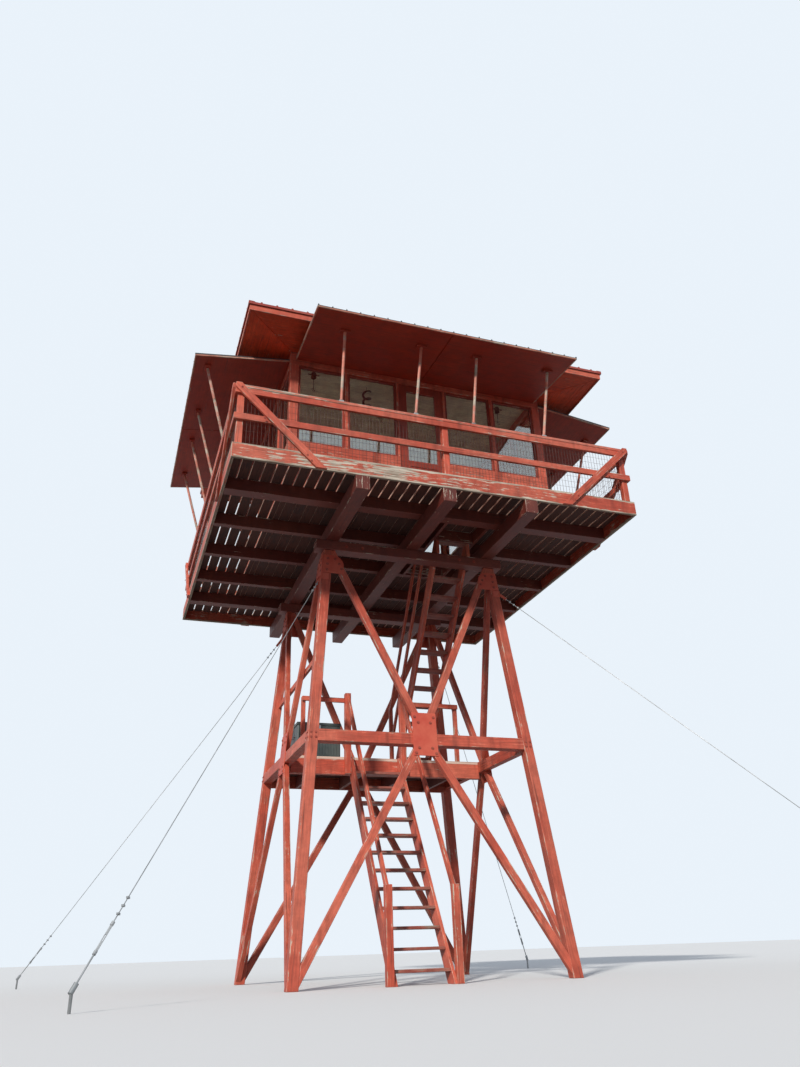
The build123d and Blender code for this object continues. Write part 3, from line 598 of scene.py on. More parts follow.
def painted_wood(name, paint, faded, bare=PALE_WOOD, wear=0.0, rim=0.010, rim_wear_and_highlight=0.07, patch=3.0,
                 dirt=0.6, fineness=1.0, relief=0.0012, rough=0.6, worn_place=None):
    """Old paint over grain: faded in patches, thin on the edges, gone in flakes; the pale edges are
    also painted highlights.
    """
    tree, surface, place = new_material(name)
    grain, tone, sawn = board_data(tree)
    amount = wear
    if worn_place:
        centre, reach, extra = worn_place
        away = put(tree, "ShaderNodeVectorMath", {0: place, 1: centre}, operation="DISTANCE")
        amount = ease(tree, away.outputs["Value"], 0.3 * reach, reach, wear + extra, wear)
    amount = weigh(tree, (sawn, SAWN_WEAR), start=amount)
    wood = use_group(tree, board_grain, Grain=grain, Fineness=fineness)
    worn = use_group(tree, paint_wear, Position=place, Grain=grain, Fibre=wood["Fibre"],
                     Rim=wood["Rim"], Amount=amount, Rim_Width=rim, Rim_Wear=rim_wear_and_highlight,
                     Patch_Scale=patch)
    air = use_group(tree, weather, Position=place, Amount=dirt)
    coat = mix(tree, calc(tree, "MULTIPLY", air["Fade"], 0.6), paint, faded)
    coat = mix(tree, calc(tree, "MULTIPLY", worn["Thin"], 0.6), coat, faded)
    lines = ease(tree, wood["Fibre"], 0.3, 0.75, 0.80, 1.12)
    own = calc(tree, "MULTIPLY", air["Blotch"], ease(tree, tone, 0.0, 1.0, 0.90, 1.08))
    coat = tone_down(tree, coat, calc(tree, "MULTIPLY", lines, own))
    coat = mix(tree, calc(tree, "MULTIPLY", air["Dirt"], 0.7), coat, STAIN)
    raw = mix(tree, ease(tree, wood["Fibre"], 0.35, 0.65), GREY_WOOD, bare)
    coat = mix(tree, worn["Bare"], coat, raw)
    coat = mix(tree, calc(tree, "MULTIPLY", wood["Cracks"], 0.6), coat, CRACK)
    height = weigh(tree, (wood["Fibre"], 0.35), (worn["Bare"], -0.3), (wood["Cracks"], -0.8))
    feed(tree, surface, {"Base Color": coat, "Normal": relief_of(tree, height, relief),
                         "Roughness": ease(tree, worn["Bare"], 0.0, 1.0, rough, 0.88)})


def walked_boards(name, paint, scuffed):
    """Floor boards: scuffed paint on top, raw sides painted near white as painted light in the open
    joints, and painted shade, nearly black, underneath.
    """
    tree, surface, place = new_material(name, Roughness=0.85)
    grain, tone = board_data(tree)[:2]
    wood = use_group(tree, board_grain, Grain=grain, Fineness=1.0)
    worn = use_group(tree, paint_wear, Position=place, Grain=grain, Fibre=wood["Fibre"],
                     Rim=wood["Rim"], Amount=0.10, Rim_Width=0.02, Rim_Wear=0.07, Patch_Scale=4.0)
    facing = split(tree, put(tree, "ShaderNodeNewGeometry").outputs["Normal"])[2]
    top = mix(tree, worn["Bare"], paint, scuffed)
    # Sides: pale raw wood, light enough to stand in for the light they catch in the joints (painted
    # light)
    side = mix(tree, wood["Fibre"], rgb(214, 168, 150), rgb(240, 224, 208))
    # Underside: painted shade, nearly black, for the shade under the deck
    under = mix(tree, worn["Thin"], rgb(54, 26, 20), rgb(80, 42, 32))
    coat = mix(tree, ease(tree, facing, 0.6, 0.8), side, top)
    coat = mix(tree, ease(tree, facing, -0.8, -0.6, 1.0, 0.0), coat, under)
    lines = calc(tree, "MULTIPLY", ease(tree, wood["Fibre"], 0.3, 0.75, 0.78, 1.12),
                 ease(tree, tone, 0.0, 1.0, 0.82, 1.12))
    height = weigh(tree, (wood["Fibre"], 0.35), (wood["Cracks"], -0.8))
    feed(tree, surface, {"Base Color": tone_down(tree, coat, lines),
                         "Normal": relief_of(tree, height, 0.0015)})


def aged_metal(name, clean, dull, rust=0.0, metallic=0.0, rough=0.42):
    """Bare or painted metal with dull bloom and rust specks."""
    tree, surface, place = new_material(name, Metallic=metallic)
    age = use_group(tree, metal_age, Position=place, Rust=rust)
    coat = mix(tree, age["Bloom"], clean, dull)
    rusty = mix(tree, age["Tooth"], rgb(92, 44, 26), rgb(140, 78, 48))
    coat = mix(tree, age["Rusty"], coat, rusty)
    if metallic:
        feed(tree, surface, {"Metallic": ease(tree, age["Rusty"], 0.0, 1.0, metallic, 0.0)})
    gloss = weigh(tree, (age["Bloom"], 0.15), (age["Rusty"], 0.35), start=rough)
    feed(tree, surface, {"Base Color": coat, "Roughness": gloss,
                         "Normal": relief_of(tree, age["Tooth"], 0.0004)})


def clear_glass():
    """Old window glass that mirrors the sky a little, faintly dusty and slightly uneven."""
    tree, surface, place = new_material("window_glass", IOR=1.52, Transmission_Weight=1.0,
                                        Metallic=0.12)
    dust = noise(tree, place, 2.0, 6.0, 0.6)
    tint = mix(tree, dust, rgb(238, 246, 246), rgb(250, 252, 250))
    feed(tree, surface, {"Base Color": tint, "Roughness": ease(tree, dust, 0.45, 0.8, 0.0, 0.08),
                         "Normal": relief_of(tree, noise(tree, place, 1.6, 1.0), 0.0006)})


painted_wood("red_timber", rgb(188, 79, 58), rgb(212, 116, 92), wear=0.015)
# Under-deck timbers: the red is darkened as painted shade, standing in for the shade under the deck
painted_wood("painted_shade_timber", rgb(98, 34, 24), rgb(124, 58, 42), wear=0.005, dirt=0.9)
painted_wood("red_boards", rgb(192, 80, 58), rgb(212, 114, 90), wear=0.02, patch=4.0)
painted_wood("cap_boards", rgb(190, 92, 72), rgb(210, 130, 110), wear=0.01, rim=0.02,
             worn_place=((-2.8, -3.0, 7.3), 1.7, 0.08))
# Shutter undersides and prop cleats: a deeper red, which is partly the paint and partly painted shade
# for the shade under the shutters
painted_wood("painted_shade_boards", rgb(154, 42, 18), rgb(168, 58, 30), wear=-0.04, dirt=0.3)
painted_wood("rim_boards", rgb(188, 72, 50), rgb(212, 116, 92), wear=0.045, rim=0.034, rim_wear_and_highlight=0.15,
             patch=3.4, relief=0.002, worn_place=((-1.15, -3.05, 6.30), 1.7, 0.065))
painted_wood("tread_wood", rgb(150, 72, 58), rgb(170, 110, 96), rgb(158, 136, 122), wear=0.02,
             rim=0.02, patch=5.0, relief=0.002)
painted_wood("window_wood", rgb(132, 40, 24), rgb(154, 62, 42), wear=-0.01, fineness=1.6)
painted_wood("prop_wood", rgb(206, 112, 90), rgb(222, 150, 132), wear=0.03, fineness=2.0)
painted_wood("eave_boards", rgb(224, 72, 34), rgb(232, 98, 58), wear=-0.03, dirt=0.3)
painted_wood("pale_edge", rgb(190, 108, 86), rgb(208, 148, 128), wear=0.05)
painted_wood("ceiling_board", rgb(244, 232, 196), rgb(248, 240, 212), rgb(196, 176, 140),
             wear=-0.1, dirt=0.1)
walked_boards("deck_wood", rgb(150, 66, 48), rgb(158, 142, 124))
walked_boards("room_floor", rgb(204, 194, 168), rgb(178, 160, 132))
aged_metal("red_steel", rgb(192, 74, 56), rgb(206, 98, 76), -0.02, rough=0.5)
aged_metal("shutter_sheet", rgb(44, 40, 42), rgb(70, 64, 64), -0.02)
aged_metal("roof_sheet", rgb(150, 58, 46), rgb(168, 84, 68), -0.03)
aged_metal("galvanised", rgb(176, 178, 180), rgb(138, 142, 144), -0.04, metallic=0.7)
aged_metal("dark_iron", rgb(44, 38, 36), rgb(62, 54, 50), metallic=0.5)
aged_metal("mesh_wire", rgb(84, 56, 48), rgb(78, 40, 34), -0.04, rough=0.6)
aged_metal("box_sheet", rgb(60, 70, 70), rgb(86, 96, 94), -0.02, metallic=0.2)
aged_metal("bolt_steel", rgb(150, 60, 46), rgb(168, 86, 68), 0.03)
clear_glass()


# Solid timbers and fittings that keep their form: look, slot, and the worn edge of each node
DRESSED = (
    ("red_timber", "red_timber", {"legs": 0.006, "girts": 0.005, "upper_braces": 0.004,
                                  "lower_braces": 0.004}),
    # painted_shade_timber: a darker red that stands in for the shade under the deck
    ("painted_shade_timber", "red_timber", {"cap_beams": 0.006, "floor_beams": 0.006, "joists": 0.004,
                                     "hatch_frame": 0.003}),
    ("red_timber", "red_timber", {"landing_beams": 0.004}),
    ("painted_shade_timber", "red_timber", {"landing_joists": 0.003}),
    ("red_boards", "red_timber", {"landing_rails": 0.003, "lower_stair_guards": 0.004}),
    ("red_timber", "red_timber", {"lower_stair_stringers": 0.004}),
    ("red_boards", "red_timber", {"upper_stair_guard": 0.003}),
    ("red_timber", "red_timber", {"upper_stair_stringers": 0.004}),
    ("tread_wood", "tread_wood", {"lower_stair_treads": 0.005, "upper_stair_treads": 0.005}),
    ("red_boards", "red_boards", {"railing_struts": 0.003}),
    ("rim_boards", "rim_boards", {"rim_front_back": 0.004, "rim_sides": 0.004}),
    ("red_boards", "red_boards", {"wall_posts_front_back": 0.003, "wall_posts_sides": 0.003,
                                  "header_front_back": 0.003, "header_sides": 0.003,
                                  "fascia": 0.002}),
    ("prop_wood", "red_boards", {"shutter_props": 0.002}),
    ("dark_iron", "galvanised", {"shutter_hinges": 0.001}),
    ("red_steel", "red_steel", {"gusset_plates": 0.0015}),
    ("red_steel", "galvanised", {"guy_shoes": 0.001}),
    ("galvanised", "galvanised", {"guy_eye_rods": 0.001, "guy_anchors": 0.001}),
    ("box_sheet", "box_sheet", {"storage_box": 0.002, "storage_box_lid": 0.003}),
    ("roof_sheet", "roof_sheet", {"hip_caps": 0.001}),
)
FIRST_SEED = 10


def dress_timbers():
    """Gives the solids of each node their worn edges and finish."""
    seed = FIRST_SEED
    for look, slot, nodes in DRESSED:
        for node, edge in nodes.items():
            add_piece(node + "_finished", node_mesh(node, edge), look, (node,), seed)
            seed += 1


# Deck and floors
def lay_boards(bm, x0, x1, y0, y1, z0, z1, gap, dice):
    """Boards along Y on one grid over the whole deck, clipped to a rectangle."""
    for i in range(math.ceil(2 * RIM_IN / DECK_PITCH)):
        left = -RIM_IN + i * DECK_PITCH
        low = max(left, x0)
        high = min(left + DECK_PITCH - gap, x1)
        if high - low > gap:
            box_in(bm, (low, y0, z0), (high, y1, z1 - dice.uniform(0, UNEVEN)))


def lay_catwalks():
    """Open-jointed decking round the cab."""
    dice = random.Random(3)
    strips = {"catwalk_front_back": ((-RIM_IN, RIM_IN, -RIM_IN, -CAB_HALF),
                                     (-RIM_IN, RIM_IN, CAB_HALF, RIM_IN)),
              "catwalk_sides": ((-RIM_IN, -CAB_HALF, -CAB_HALF, CAB_HALF),
                                (CAB_HALF, RIM_IN, -CAB_HALF, CAB_HALF))}
    for name, spans in strips.items():
        bm = bmesh.new()
        for span in spans:
            lay_boards(bm, *span, catwalk_low.z, catwalk_high.z, DECK_GAP, dice)
        soften(bm)
        add_piece(name + "_boards", bm, "deck_wood", (name,), 70)


def lay_cab_floor():
    """Close-laid boards with the hatch left open."""
    dice = random.Random(4)
    left, right = hatch_low.x + TRIMMER, hatch_high.x - TRIMMER
    bm = bmesh.new()
    for span in ((-CAB_HALF, left, -CAB_HALF, CAB_HALF), (right, CAB_HALF, -CAB_HALF, CAB_HALF),
                 (left, right, -CAB_HALF, HATCH_Y[0]), (left, right, HATCH_Y[1], CAB_HALF)):
        lay_boards(bm, *span, cab_low.z, cab_high.z, FLOOR_GAP, dice)
    soften(bm)
    add_piece("cab_floor_boards", bm, "room_floor", ("cab_floor",), 72)


def lay_landing():
    """The landing floor sawn into boards along X, notched round the legs as the floor is."""
    boards = []
    for row in range(math.ceil((landing_high.y - landing_low.y) / LANDING_PITCH)):
        board = node_mesh("landing_floor")
        start = landing_low.y + row * LANDING_PITCH
        for y, side in ((start, -1), (start + LANDING_PITCH - FLOOR_GAP, 1)):
            geom = board.verts[:] + board.edges[:] + board.faces[:]
            bmesh.ops.bisect_plane(board, geom=geom, dist=WELD, plane_co=(0, y, 0),
                                   plane_no=(0, side, 0), clear_outer=True)
            fill_holes(board)
        soften(board)
        boards.append(board)
    add_piece("landing_floor_boards", gather(boards), "deck_wood", ("landing_floor",), 73)


# Railing
def build_railing():
    """Posts and face boards, with a cap board over a groove along the top."""
    top = rail_high.z
    mid = DECK_TOP + MID_TOP
    for name, turns in (("railing_front_back", (FRONT, BACK)), ("railing_sides", (RIGHT, LEFT))):
        whole = name == "railing_front_back"
        end = DECK_HALF if whole else RIM_IN
        posts = (-RIM_IN + POST / 2, 0, RIM_IN - POST / 2) if whole else (0,)
        bm = bmesh.new()
        caps = bmesh.new()
        for turn in turns:
            box_in(caps, (-end, -DECK_HALF, top - CAP_PLANK), (end, -RIM_IN, top), turn)
            for back, low, high in ((0, top - TOP_RAIL, top - CAP_PLANK - GROOVE),
                                    (2 * GROOVE, top - CAP_PLANK - 2 * GROOVE, top - CAP_PLANK),
                                    (0, mid - MID_RAIL, mid)):
                box_in(bm, (-end, -DECK_HALF + back, low), (end, -RIM_IN, high), turn)
            for x in posts:
                box_in(bm, (x - POST / 2, -RIM_IN, DECK_TOP), (x + POST / 2, -RIM_IN + POST, top),
                       turn)
        soften(bm)
        soften(caps, 0.004)
        add_piece(name + "_boards", bm, "red_boards", (name,), 80 + whole)
        add_piece(name + "_caps", caps, "cap_boards", (name,), 82 + whole)


def build_mesh_panels():
    """Welded wire between the posts, behind the rails."""
    bm = bmesh.new()
    y = -RIM_IN + WIRE
    behind = y + WIRE + CROSS_WIRE
    low = DECK_TOP + MESH_UP
    high = rail_high.z - CAP_PLANK
    for turn in TURNS:
        for start, end in ((-RIM_IN + POST, -POST / 2), (POST / 2, RIM_IN - POST)):
            count = round((end - start) / WIRE_PITCH)
            for i in range(1, count):
                x = start + i * (end - start) / count
                rod_in(bm, (x, y, low), (x, y, high), WIRE, 6, turn)
            for row in range(int((high - low) / WIRE_ROWS) + 1):
                z = low + FIRST_ROW + row * WIRE_ROWS
                rod_in(bm, (start, behind, z), (end, behind, z), CROSS_WIRE, 6, turn)
    add_piece("railing_wire_mesh", bm, "mesh_wire", (), 84)


# Cab
def board_walls():
    """Low walls of level boards."""
    for name in ("low_walls_front_back", "low_walls_sides"):
        bm = bmesh.new()
        for low, high in island_boxes(name):
            rows = round((high.z - low.z) / SIDING)
            step = (high.z - low.z) / rows
            for row in range(rows):
                z = low.z + row * step
                box_in(bm, (low.x, low.y, z), (high.x, high.y, z + step - SEAM))
        soften(bm, 0.004)
        add_piece(name + "_boards", bm, "red_boards", (name,), 90)


def build_sashes():
    """Each sash as two stiles and two rails round its pane."""
    bm = bmesh.new()
    for low, high in island_boxes("window_sashes"):
        along = 0 if high.x - low.x > high.y - low.y else 1
        spans = ((low[along], low[along] + SASH, low.z, high.z),
                 (high[along] - SASH, high[along], low.z, high.z),
                 (low[along] + SASH, high[along] - SASH, low.z, low.z + SASH),
                 (low[along] + SASH, high[along] - SASH, high.z - SASH, high.z))
        for start, end, z0, z1 in spans:
            first, last = low.copy(), high.copy()
            first[along], last[along] = start, end
            first.z, last.z = z0, z1
            box_in(bm, first, last)
    soften(bm)
    add_piece("window_sash_frames", bm, "window_wood", ("window_sashes",), 91)


def board_ceiling():
    """Narrow cream boards along X over the whole room."""
    bm = bmesh.new()
    step = (ceiling_high.y - ceiling_low.y) / CEILING_ROWS
    for row in range(CEILING_ROWS):
        y = ceiling_low.y + row * step
        box_in(bm, (ceiling_low.x, y, ceiling_low.z), (ceiling_high.x, y + step - SEAM, ceiling_high.z))
    soften(bm)
    add_piece("ceiling_boards", bm, "ceiling_board", ("ceiling",), 92)


def board_soffit():
    """Eave boards parallel to each eave, with open mitres on the corners."""
    bm = bmesh.new()
    step = (soffit_high.y - WALL_IN) / SOFFIT_ROWS
    for turn in TURNS:
        for row in range(SOFFIT_ROWS):
            out = WALL_IN + row * step
            verts = box_in(bm, (-1, -out - step + 2 * SEAM, soffit_low.z), (1, -out, soffit_high.z))
            for v in verts:
                v.co.x = math.copysign(-v.co.y - MITRE_GAP, v.co.x)
            bmesh.ops.transform(bm, matrix=turn, verts=verts)
    soften(bm)
    add_piece("soffit_boards", bm, "eave_boards", ("soffit",), 93)


def hang_fixtures():
    """Lamp hooks inside the windows: a stepped rose with a cross bar, a rod and an open ring."""
    bm = bmesh.new()
    for x, y in HANGERS:
        top = Vector((x, y, ceiling_low.z))
        ring_middle = top - HANGER_DROP * UP
        down = 0
        for below, above, height in ROSE:
            place = Matrix.Translation(top - (down + height / 2) * UP)
            drum_in(bm, place, below, above, height)
            down += height
        rod_in(bm, top - HOOK_TOP * UP, ring_middle, HOOK_WIRE, 8)
        half, down, radius = CROSS_BAR
        rod_in(bm, top - Vector((half, 0, down)), top - Vector((-half, 0, down)), radius, 8)
        start = stand(ring_middle + Vector((HOOK, 0, 0)), (0, -1, 0))
        ring = bmesh.ops.create_circle(bm, segments=6, radius=HOOK_WIRE, matrix=start)["verts"]
        edges = list(dict.fromkeys(e for v in ring for e in v.link_edges))
        bmesh.ops.spin(bm, geom=ring + edges, cent=ring_middle, axis=(0, 1, 0), dvec=(0, 0, 0),
                       angle=math.radians(270), steps=14, use_merge=False)
        fill_holes(bm)
    bmesh.ops.recalc_face_normals(bm, faces=bm.faces)
    add_piece("ceiling_hangers", bm, "dark_iron", (), 94)


def hang_spinner():
    """A flat strip twisted into a hanging coil."""
    x, y = SPINNER
    z = ceiling_low.z - STRING
    bm = bmesh.new()
    rod_in(bm, (x, y, ceiling_low.z), (x, y, z), 0.003, 8)
    half = Vector(STRIP) / 2
    middle = Vector((x + COIL, y, z))
    sides = {face for v in box_in(bm, middle - half, middle + half) for face in v.link_faces}
    face = min(sides, key=lambda f: f.calc_center_median().y)
    sweep_face(bm, face, (x, y, 0), (0, 0, 1), (0, 0, -COIL_FALL / COIL_STEPS), -COIL_TURN, COIL_STEPS)
    bmesh.ops.recalc_face_normals(bm, faces=bm.faces)
    add_piece("ceiling_spinner", bm, "dark_iron", (), 95)


def finish_door():
    """Stiles, rails and a framed panel under the pane, with a knob and hinges."""
    add_piece("door_finished", node_mesh("door", EASED), "window_wood", ("door",), 96)
    face = door_low.y
    trim = bmesh.new()
    half = door_high.x - DOOR_STILE
    low, high = (door_low.z + up for up in DOOR_PANEL)
    for x0, x1, z0, z1 in ((-half, half, low, low + BEAD), (-half, half, high - BEAD, high),
                           (-half, -half + BEAD, low + BEAD, high - BEAD),
                           (half - BEAD, half, low + BEAD, high - BEAD)):
        box_in(trim, (x0, face - BEAD_OUT, z0), (x1, face, z1))
    soften(trim, 0.004)
    add_piece("door_panel_moulding", trim, "window_wood", (), 97)
    metal = bmesh.new()
    x, z = door_high.x - KNOB_IN, door_low.z + KNOB_UP
    wide, thick, tall = KNOB_PLATE
    box_in(metal, (x - wide, face - thick, z - tall), (x + wide, face, z + tall))
    radius, length = SPINDLE
    rod_in(metal, (x, face, z), (x, face - length, z), radius, 12)
    bmesh.ops.create_uvsphere(metal, u_segments=16, v_segments=10, radius=KNOB,
                              matrix=Matrix.Translation((x, face - KNOB_OUT, z)))
    radius, length = HINGE_PIN
    for up in HINGE_UPS:
        foot = Vector((door_low.x + HINGE_OFF[0], face + HINGE_OFF[1], door_low.z + up))
        rod_in(metal, foot, foot + length * UP, radius)
    add_piece("door_hardware", metal, "dark_iron", (), 98)


# Roof
def cover_roof():
    """Ribbed sheet on each slope, the ribs running up to the hips."""
    count = int(roof_high.y / ROOF_RIB_PITCH)
    for name, turns in (("roof_front_back", (FRONT, BACK)), ("roof_sides", (RIGHT, LEFT))):
        bm = node_mesh(name)
        for turn in turns:
            for i in range(-count, count + 1):
                x = i * ROOF_RIB_PITCH
                reach = abs(x) + 2 * ROOF_RIB_W
                start = Vector((x, -roof_high.y + ROOF_RIB_BACK,
                                roof_high.z - roof_high.y * math.tan(ROOF_SLOPE)))
                end = Vector((x, -reach, roof_high.z - reach * math.tan(ROOF_SLOPE)))
                along = end - start
                if along.y < 2 * ROOF_RIB_W:
                    continue
                verts = box_in(bm, (-ROOF_RIB_W / 2, -along.length / 2, -ROOF_RIB_SUNK),
                               (ROOF_RIB_W / 2, along.length / 2, ROOF_RIB))
                for v in verts:
                    if v.co.z > 0:
                        v.co.x *= ROOF_RIB_TAPER
                slope = Matrix.Translation((start + end) / 2) @ Matrix.Rotation(ROOF_SLOPE, 4, "X")
                bmesh.ops.transform(bm, matrix=turn @ slope, verts=verts)
        soften(bm, 0.002)
        add_piece(name + "_sheets", bm, "roof_sheet", (name,), 99)


# Shutters and their props
def shutter_place(k):
    """Matrix of a shutter's top face: x along the wall, y outwards, z square to the sheet."""
    tilt = math.radians(TILTS[k])
    axes = Matrix(((-1, 0, 0), (0, -math.cos(tilt), -math.sin(tilt)),
                   (0, -math.sin(tilt), math.cos(tilt)))).transposed().to_4x4()
    return TURNS[k] @ Matrix.Translation((0, -HINGE_OUT, HINGE_Z)) @ axes


def build_shutters():
    """Two boarded panels under a ribbed sheet, with a strip round the edge."""
    panels = bmesh.new()
    strips = bmesh.new()
    sheets = bmesh.new()
    inner = SHUTTER_HALF - EDGE_STRIP
    pitch = (2 * SHUTTER_HALF - RIB_W) / (RIBS - 1)
    for k in range(4):
        place = shutter_place(k)
        for x0, x1 in ((-inner, -SHUTTER_SEAM / 2), (SHUTTER_SEAM / 2, inner)):
            box_in(panels, (x0, 0, -SHUTTER_T + SUNK), (x1, SHUTTER_OUT - EDGE_STRIP, -SHEET_T), place)
        for x0, x1, y0 in ((-SHUTTER_HALF, -inner, 0), (inner, SHUTTER_HALF, 0),
                           (-inner, inner, SHUTTER_OUT - EDGE_STRIP)):
            box_in(strips, (x0, y0, -SHUTTER_T), (x1, SHUTTER_OUT, -SHEET_T), place)
        box_in(sheets, (-SHUTTER_HALF, 0, -SHEET_T), (SHUTTER_HALF, SHUTTER_OUT, 0), place)
        for i in range(RIBS):
            x = -SHUTTER_HALF + RIB_W / 2 + i * pitch
            verts = box_in(sheets, (x - RIB_W / 2, 0, -SUNK), (x + RIB_W / 2, SHUTTER_OUT, RIB_H))
            for v in verts:
                if v.co.z > 0:
                    v.co.x = x + (v.co.x - x) * RIB_TAPER
            bmesh.ops.transform(sheets, matrix=place, verts=verts)
    soften(panels, 0.002)
    soften(strips, 0.002)
    # The panels' dark red is partly painted shade for the shutters' undersides
    add_piece("shutter_panels", panels, "painted_shade_boards", ("shutters",), 100)
    add_piece("shutter_edge_strips", strips, "pale_edge", ("shutters",), 101)
    add_piece("shutter_sheets", sheets, "shutter_sheet", ("shutters",), 102)


def finish_prop_ends():
    """Dark cleats under the shutters, in the boards' painted shade; bright shoes on the rail."""
    between = HINGE_Z - SHUTTER_OUT / 2
    for name, look, wanted in (("prop_cleats", "painted_shade_boards", lambda p: p.z > between),
                               ("prop_shoes", "galvanised", lambda p: p.z < between)):
        bm = node_mesh("prop_fittings", EASED)
        keep_islands(bm, wanted)
        add_piece(name, bm, look, ("prop_fittings",), 103)


# Bolts
foot_out = legs_high.x
top_out = max(v.co.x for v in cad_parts["legs"].data.vertices if v.co.z > legs_high.z - WELD)
BATTER = (foot_out - top_out) / legs_high.z


def lean_place(x, z, lift, turn):
    """Matrix on the leaning face of a side, its Z square to the face."""
    outward = Vector((0, -1, BATTER)).normalized()
    point = Vector((x, -foot_out + BATTER * z, z)) + outward * lift
    return turn @ stand(point, outward)


def add_bolt(bm, place, radius=0.013):
    """Hexagon head on a round washer."""
    washer, head = 0.003, 0.7 * radius
    drum_in(bm, place @ Matrix.Translation((0, 0, washer / 2)), 1.75 * radius, 1.7 * radius, washer, 14)
    drum_in(bm, place @ Matrix.Translation((0, 0, washer + head / 2)), radius, 0.93 * radius, head, 6)


def bolt_frame():
    """Bolts through the plates, the leg tops and the ends of the girts."""
    bm = bmesh.new()
    for turn in TURNS:
        for sx in (-1, 1):
            for x, z in PLATE_BOLTS:
                add_bolt(bm, lean_place(sx * x, z, PLATE, turn))
            for z in LEG_BOLT_LEVELS:
                add_bolt(bm, lean_place(sx * (foot_out - LEG / 2 - BATTER * z), z, PLATE, turn))
            centre = foot_out - LEG / 2 - BATTER * GIRT_Z
            for dx in (-GIRT_BOLT, GIRT_BOLT):
                for dz in (-GIRT_BOLT, GIRT_BOLT):
                    add_bolt(bm, lean_place(sx * centre + dx, GIRT_Z + dz, 0, turn), radius=0.011)
    add_piece("frame_bolts", bm, "bolt_steel", (), 110)


def bolt_beams():
    """Bolts through the cap beams and the struts."""
    bm = bmesh.new()
    level = (cap_low.z + cap_high.z) / 2
    for turn in (FRONT, BACK):
        for x in CAP_BOLTS:
            add_bolt(bm, turn @ stand((x, -cap_high.y, level), (0, -1, 0)), radius=0.015)
    for turn in TURNS:
        for sx in (-1, 1):
            for x, z in STRUT_BOLTS:
                place = turn @ stand((sx * x, -DECK_HALF - STRUT_T, z), (0, -1, 0))
                add_bolt(bm, place, radius=0.009)
    add_piece("beam_bolts", bm, "bolt_steel", (), 111)


# Guys
def guy_lines(name):
    """Upper and lower end of each straight bar of a node."""
    bm = node_mesh(name)
    lines = []
    for group in islands(bm):
        points = corners(group)
        level = sum(v.co.z for v in points) / len(points)
        ends = []
        for upper in (True, False):
            half = [v.co for v in points if (v.co.z > level) == upper]
            ends.append(sum(half, Vector()) / len(half))
        lines.append(ends)
    bm.free()
    return sorted(lines, key=lambda ends: tuple(round(c, 3) for c in ends[1]))


def guy_axes(top, low):
    """Direction down a guy, and a level one square to it."""
    along = (low - top).normalized()
    return along, along.cross(UP).normalized()


def twist_rope(top, low):
    """One wire rope: a lobed section run down the line with a twist."""
    along = low - top
    steps = int(along.length / ROPE_LAY * STRANDS)
    bm = bmesh.new()
    ring = bmesh.ops.create_circle(bm, segments=2 * STRANDS, radius=ROPE, cap_ends=True,
                                   matrix=stand(top, along))["verts"]
    for i, v in enumerate(ring):
        if i % 2:
            v.co = top + (v.co - top) * VALLEY
    sweep_face(bm, ring[0].link_faces[0], top, along.normalized(), along / steps,
               2 * math.pi * along.length / ROPE_LAY, steps)
    return bm


def twist_cables():
    """Every guy as a wire rope of six strands."""
    bm = gather([twist_rope(top, low) for top, low in guy_lines("guy_cables")])
    bmesh.ops.recalc_face_normals(bm, faces=bm.faces)
    add_piece("guy_wire_ropes", bm, "galvanised", ("guy_cables",), 120)


def clip_cables():
    """Saddle clips near each end of every rope."""
    bm = bmesh.new()
    half = Vector(SADDLE) / 2
    for top, low in guy_lines("guy_cables"):
        along, side = guy_axes(top, low)
        depth = along.cross(side)
        for end, way in ((top, 1), (low, -1)):
            for i in range(CLIPS):
                point = end + along * way * (FIRST_CLIP + CLIP_PITCH * i)
                box_in(bm, -half, half, stand(point, along))
                for offset in (-CLIP_LEG_OUT, CLIP_LEG_OUT):
                    leg = point + side * offset
                    rod_in(bm, leg - depth * CLIP_LEG_HALF, leg + depth * CLIP_LEG_HALF, CLIP_LEG, 8)
    add_piece("guy_rope_clips", bm, "galvanised", (), 121)


def open_turnbuckles():
    """Open bodies: two bars between collars, with the screws showing in the gap."""
    bm = bmesh.new()
    for top, low in guy_lines("guy_turnbuckles"):
        along, side = guy_axes(top, low)
        for end, way in ((top, 1), (low, -1)):
            for (radius, length), sides in ((COLLAR, 12), (SCREW, 10)):
                rod_in(bm, end, end + along * way * length, radius, sides)
        for offset in (-SIDE_BAR_OUT, SIDE_BAR_OUT):
            rod_in(bm, top + along * SIDE_BAR_IN + side * offset,
                   low - along * SIDE_BAR_IN + side * offset, SIDE_BAR, 8)
    add_piece("guy_turnbuckle_bodies", bm, "galvanised", ("guy_turnbuckles",), 122)


# Storage box
def fit_box_hardware():
    """Hasp and end handles of the sheet metal box."""
    bm = bmesh.new()
    front = chest_low.y
    x, z = (chest_low.x + chest_high.x) / 2, chest_high.z
    wide, tall = HASP
    back, out = (front - reach for reach in HASP_OUT)
    box_in(bm, (x - wide, out, z - tall), (x + wide, back, z))
    radius, length, down = HASP_PIN
    rod_in(bm, (x, out, z - down), (x, out - length, z - down), radius)
    y = (chest_low.y + chest_high.y) / 2
    z = chest_high.z - HANDLE_DROP
    for x, grip in ((chest_low.x, chest_low.x - HANDLE_OUT), (chest_high.x, chest_high.x + HANDLE_OUT)):
        for end in (y - HANDLE_HALF, y + HANDLE_HALF):
            rod_in(bm, (x, end, z), (grip, end, z), HANDLE, 8)
        rod_in(bm, (grip, y - HANDLE_HALF - HANDLE, z), (grip, y + HANDLE_HALF + HANDLE, z), HANDLE, 8)
    add_piece("storage_box_hardware", bm, "galvanised", (), 123)


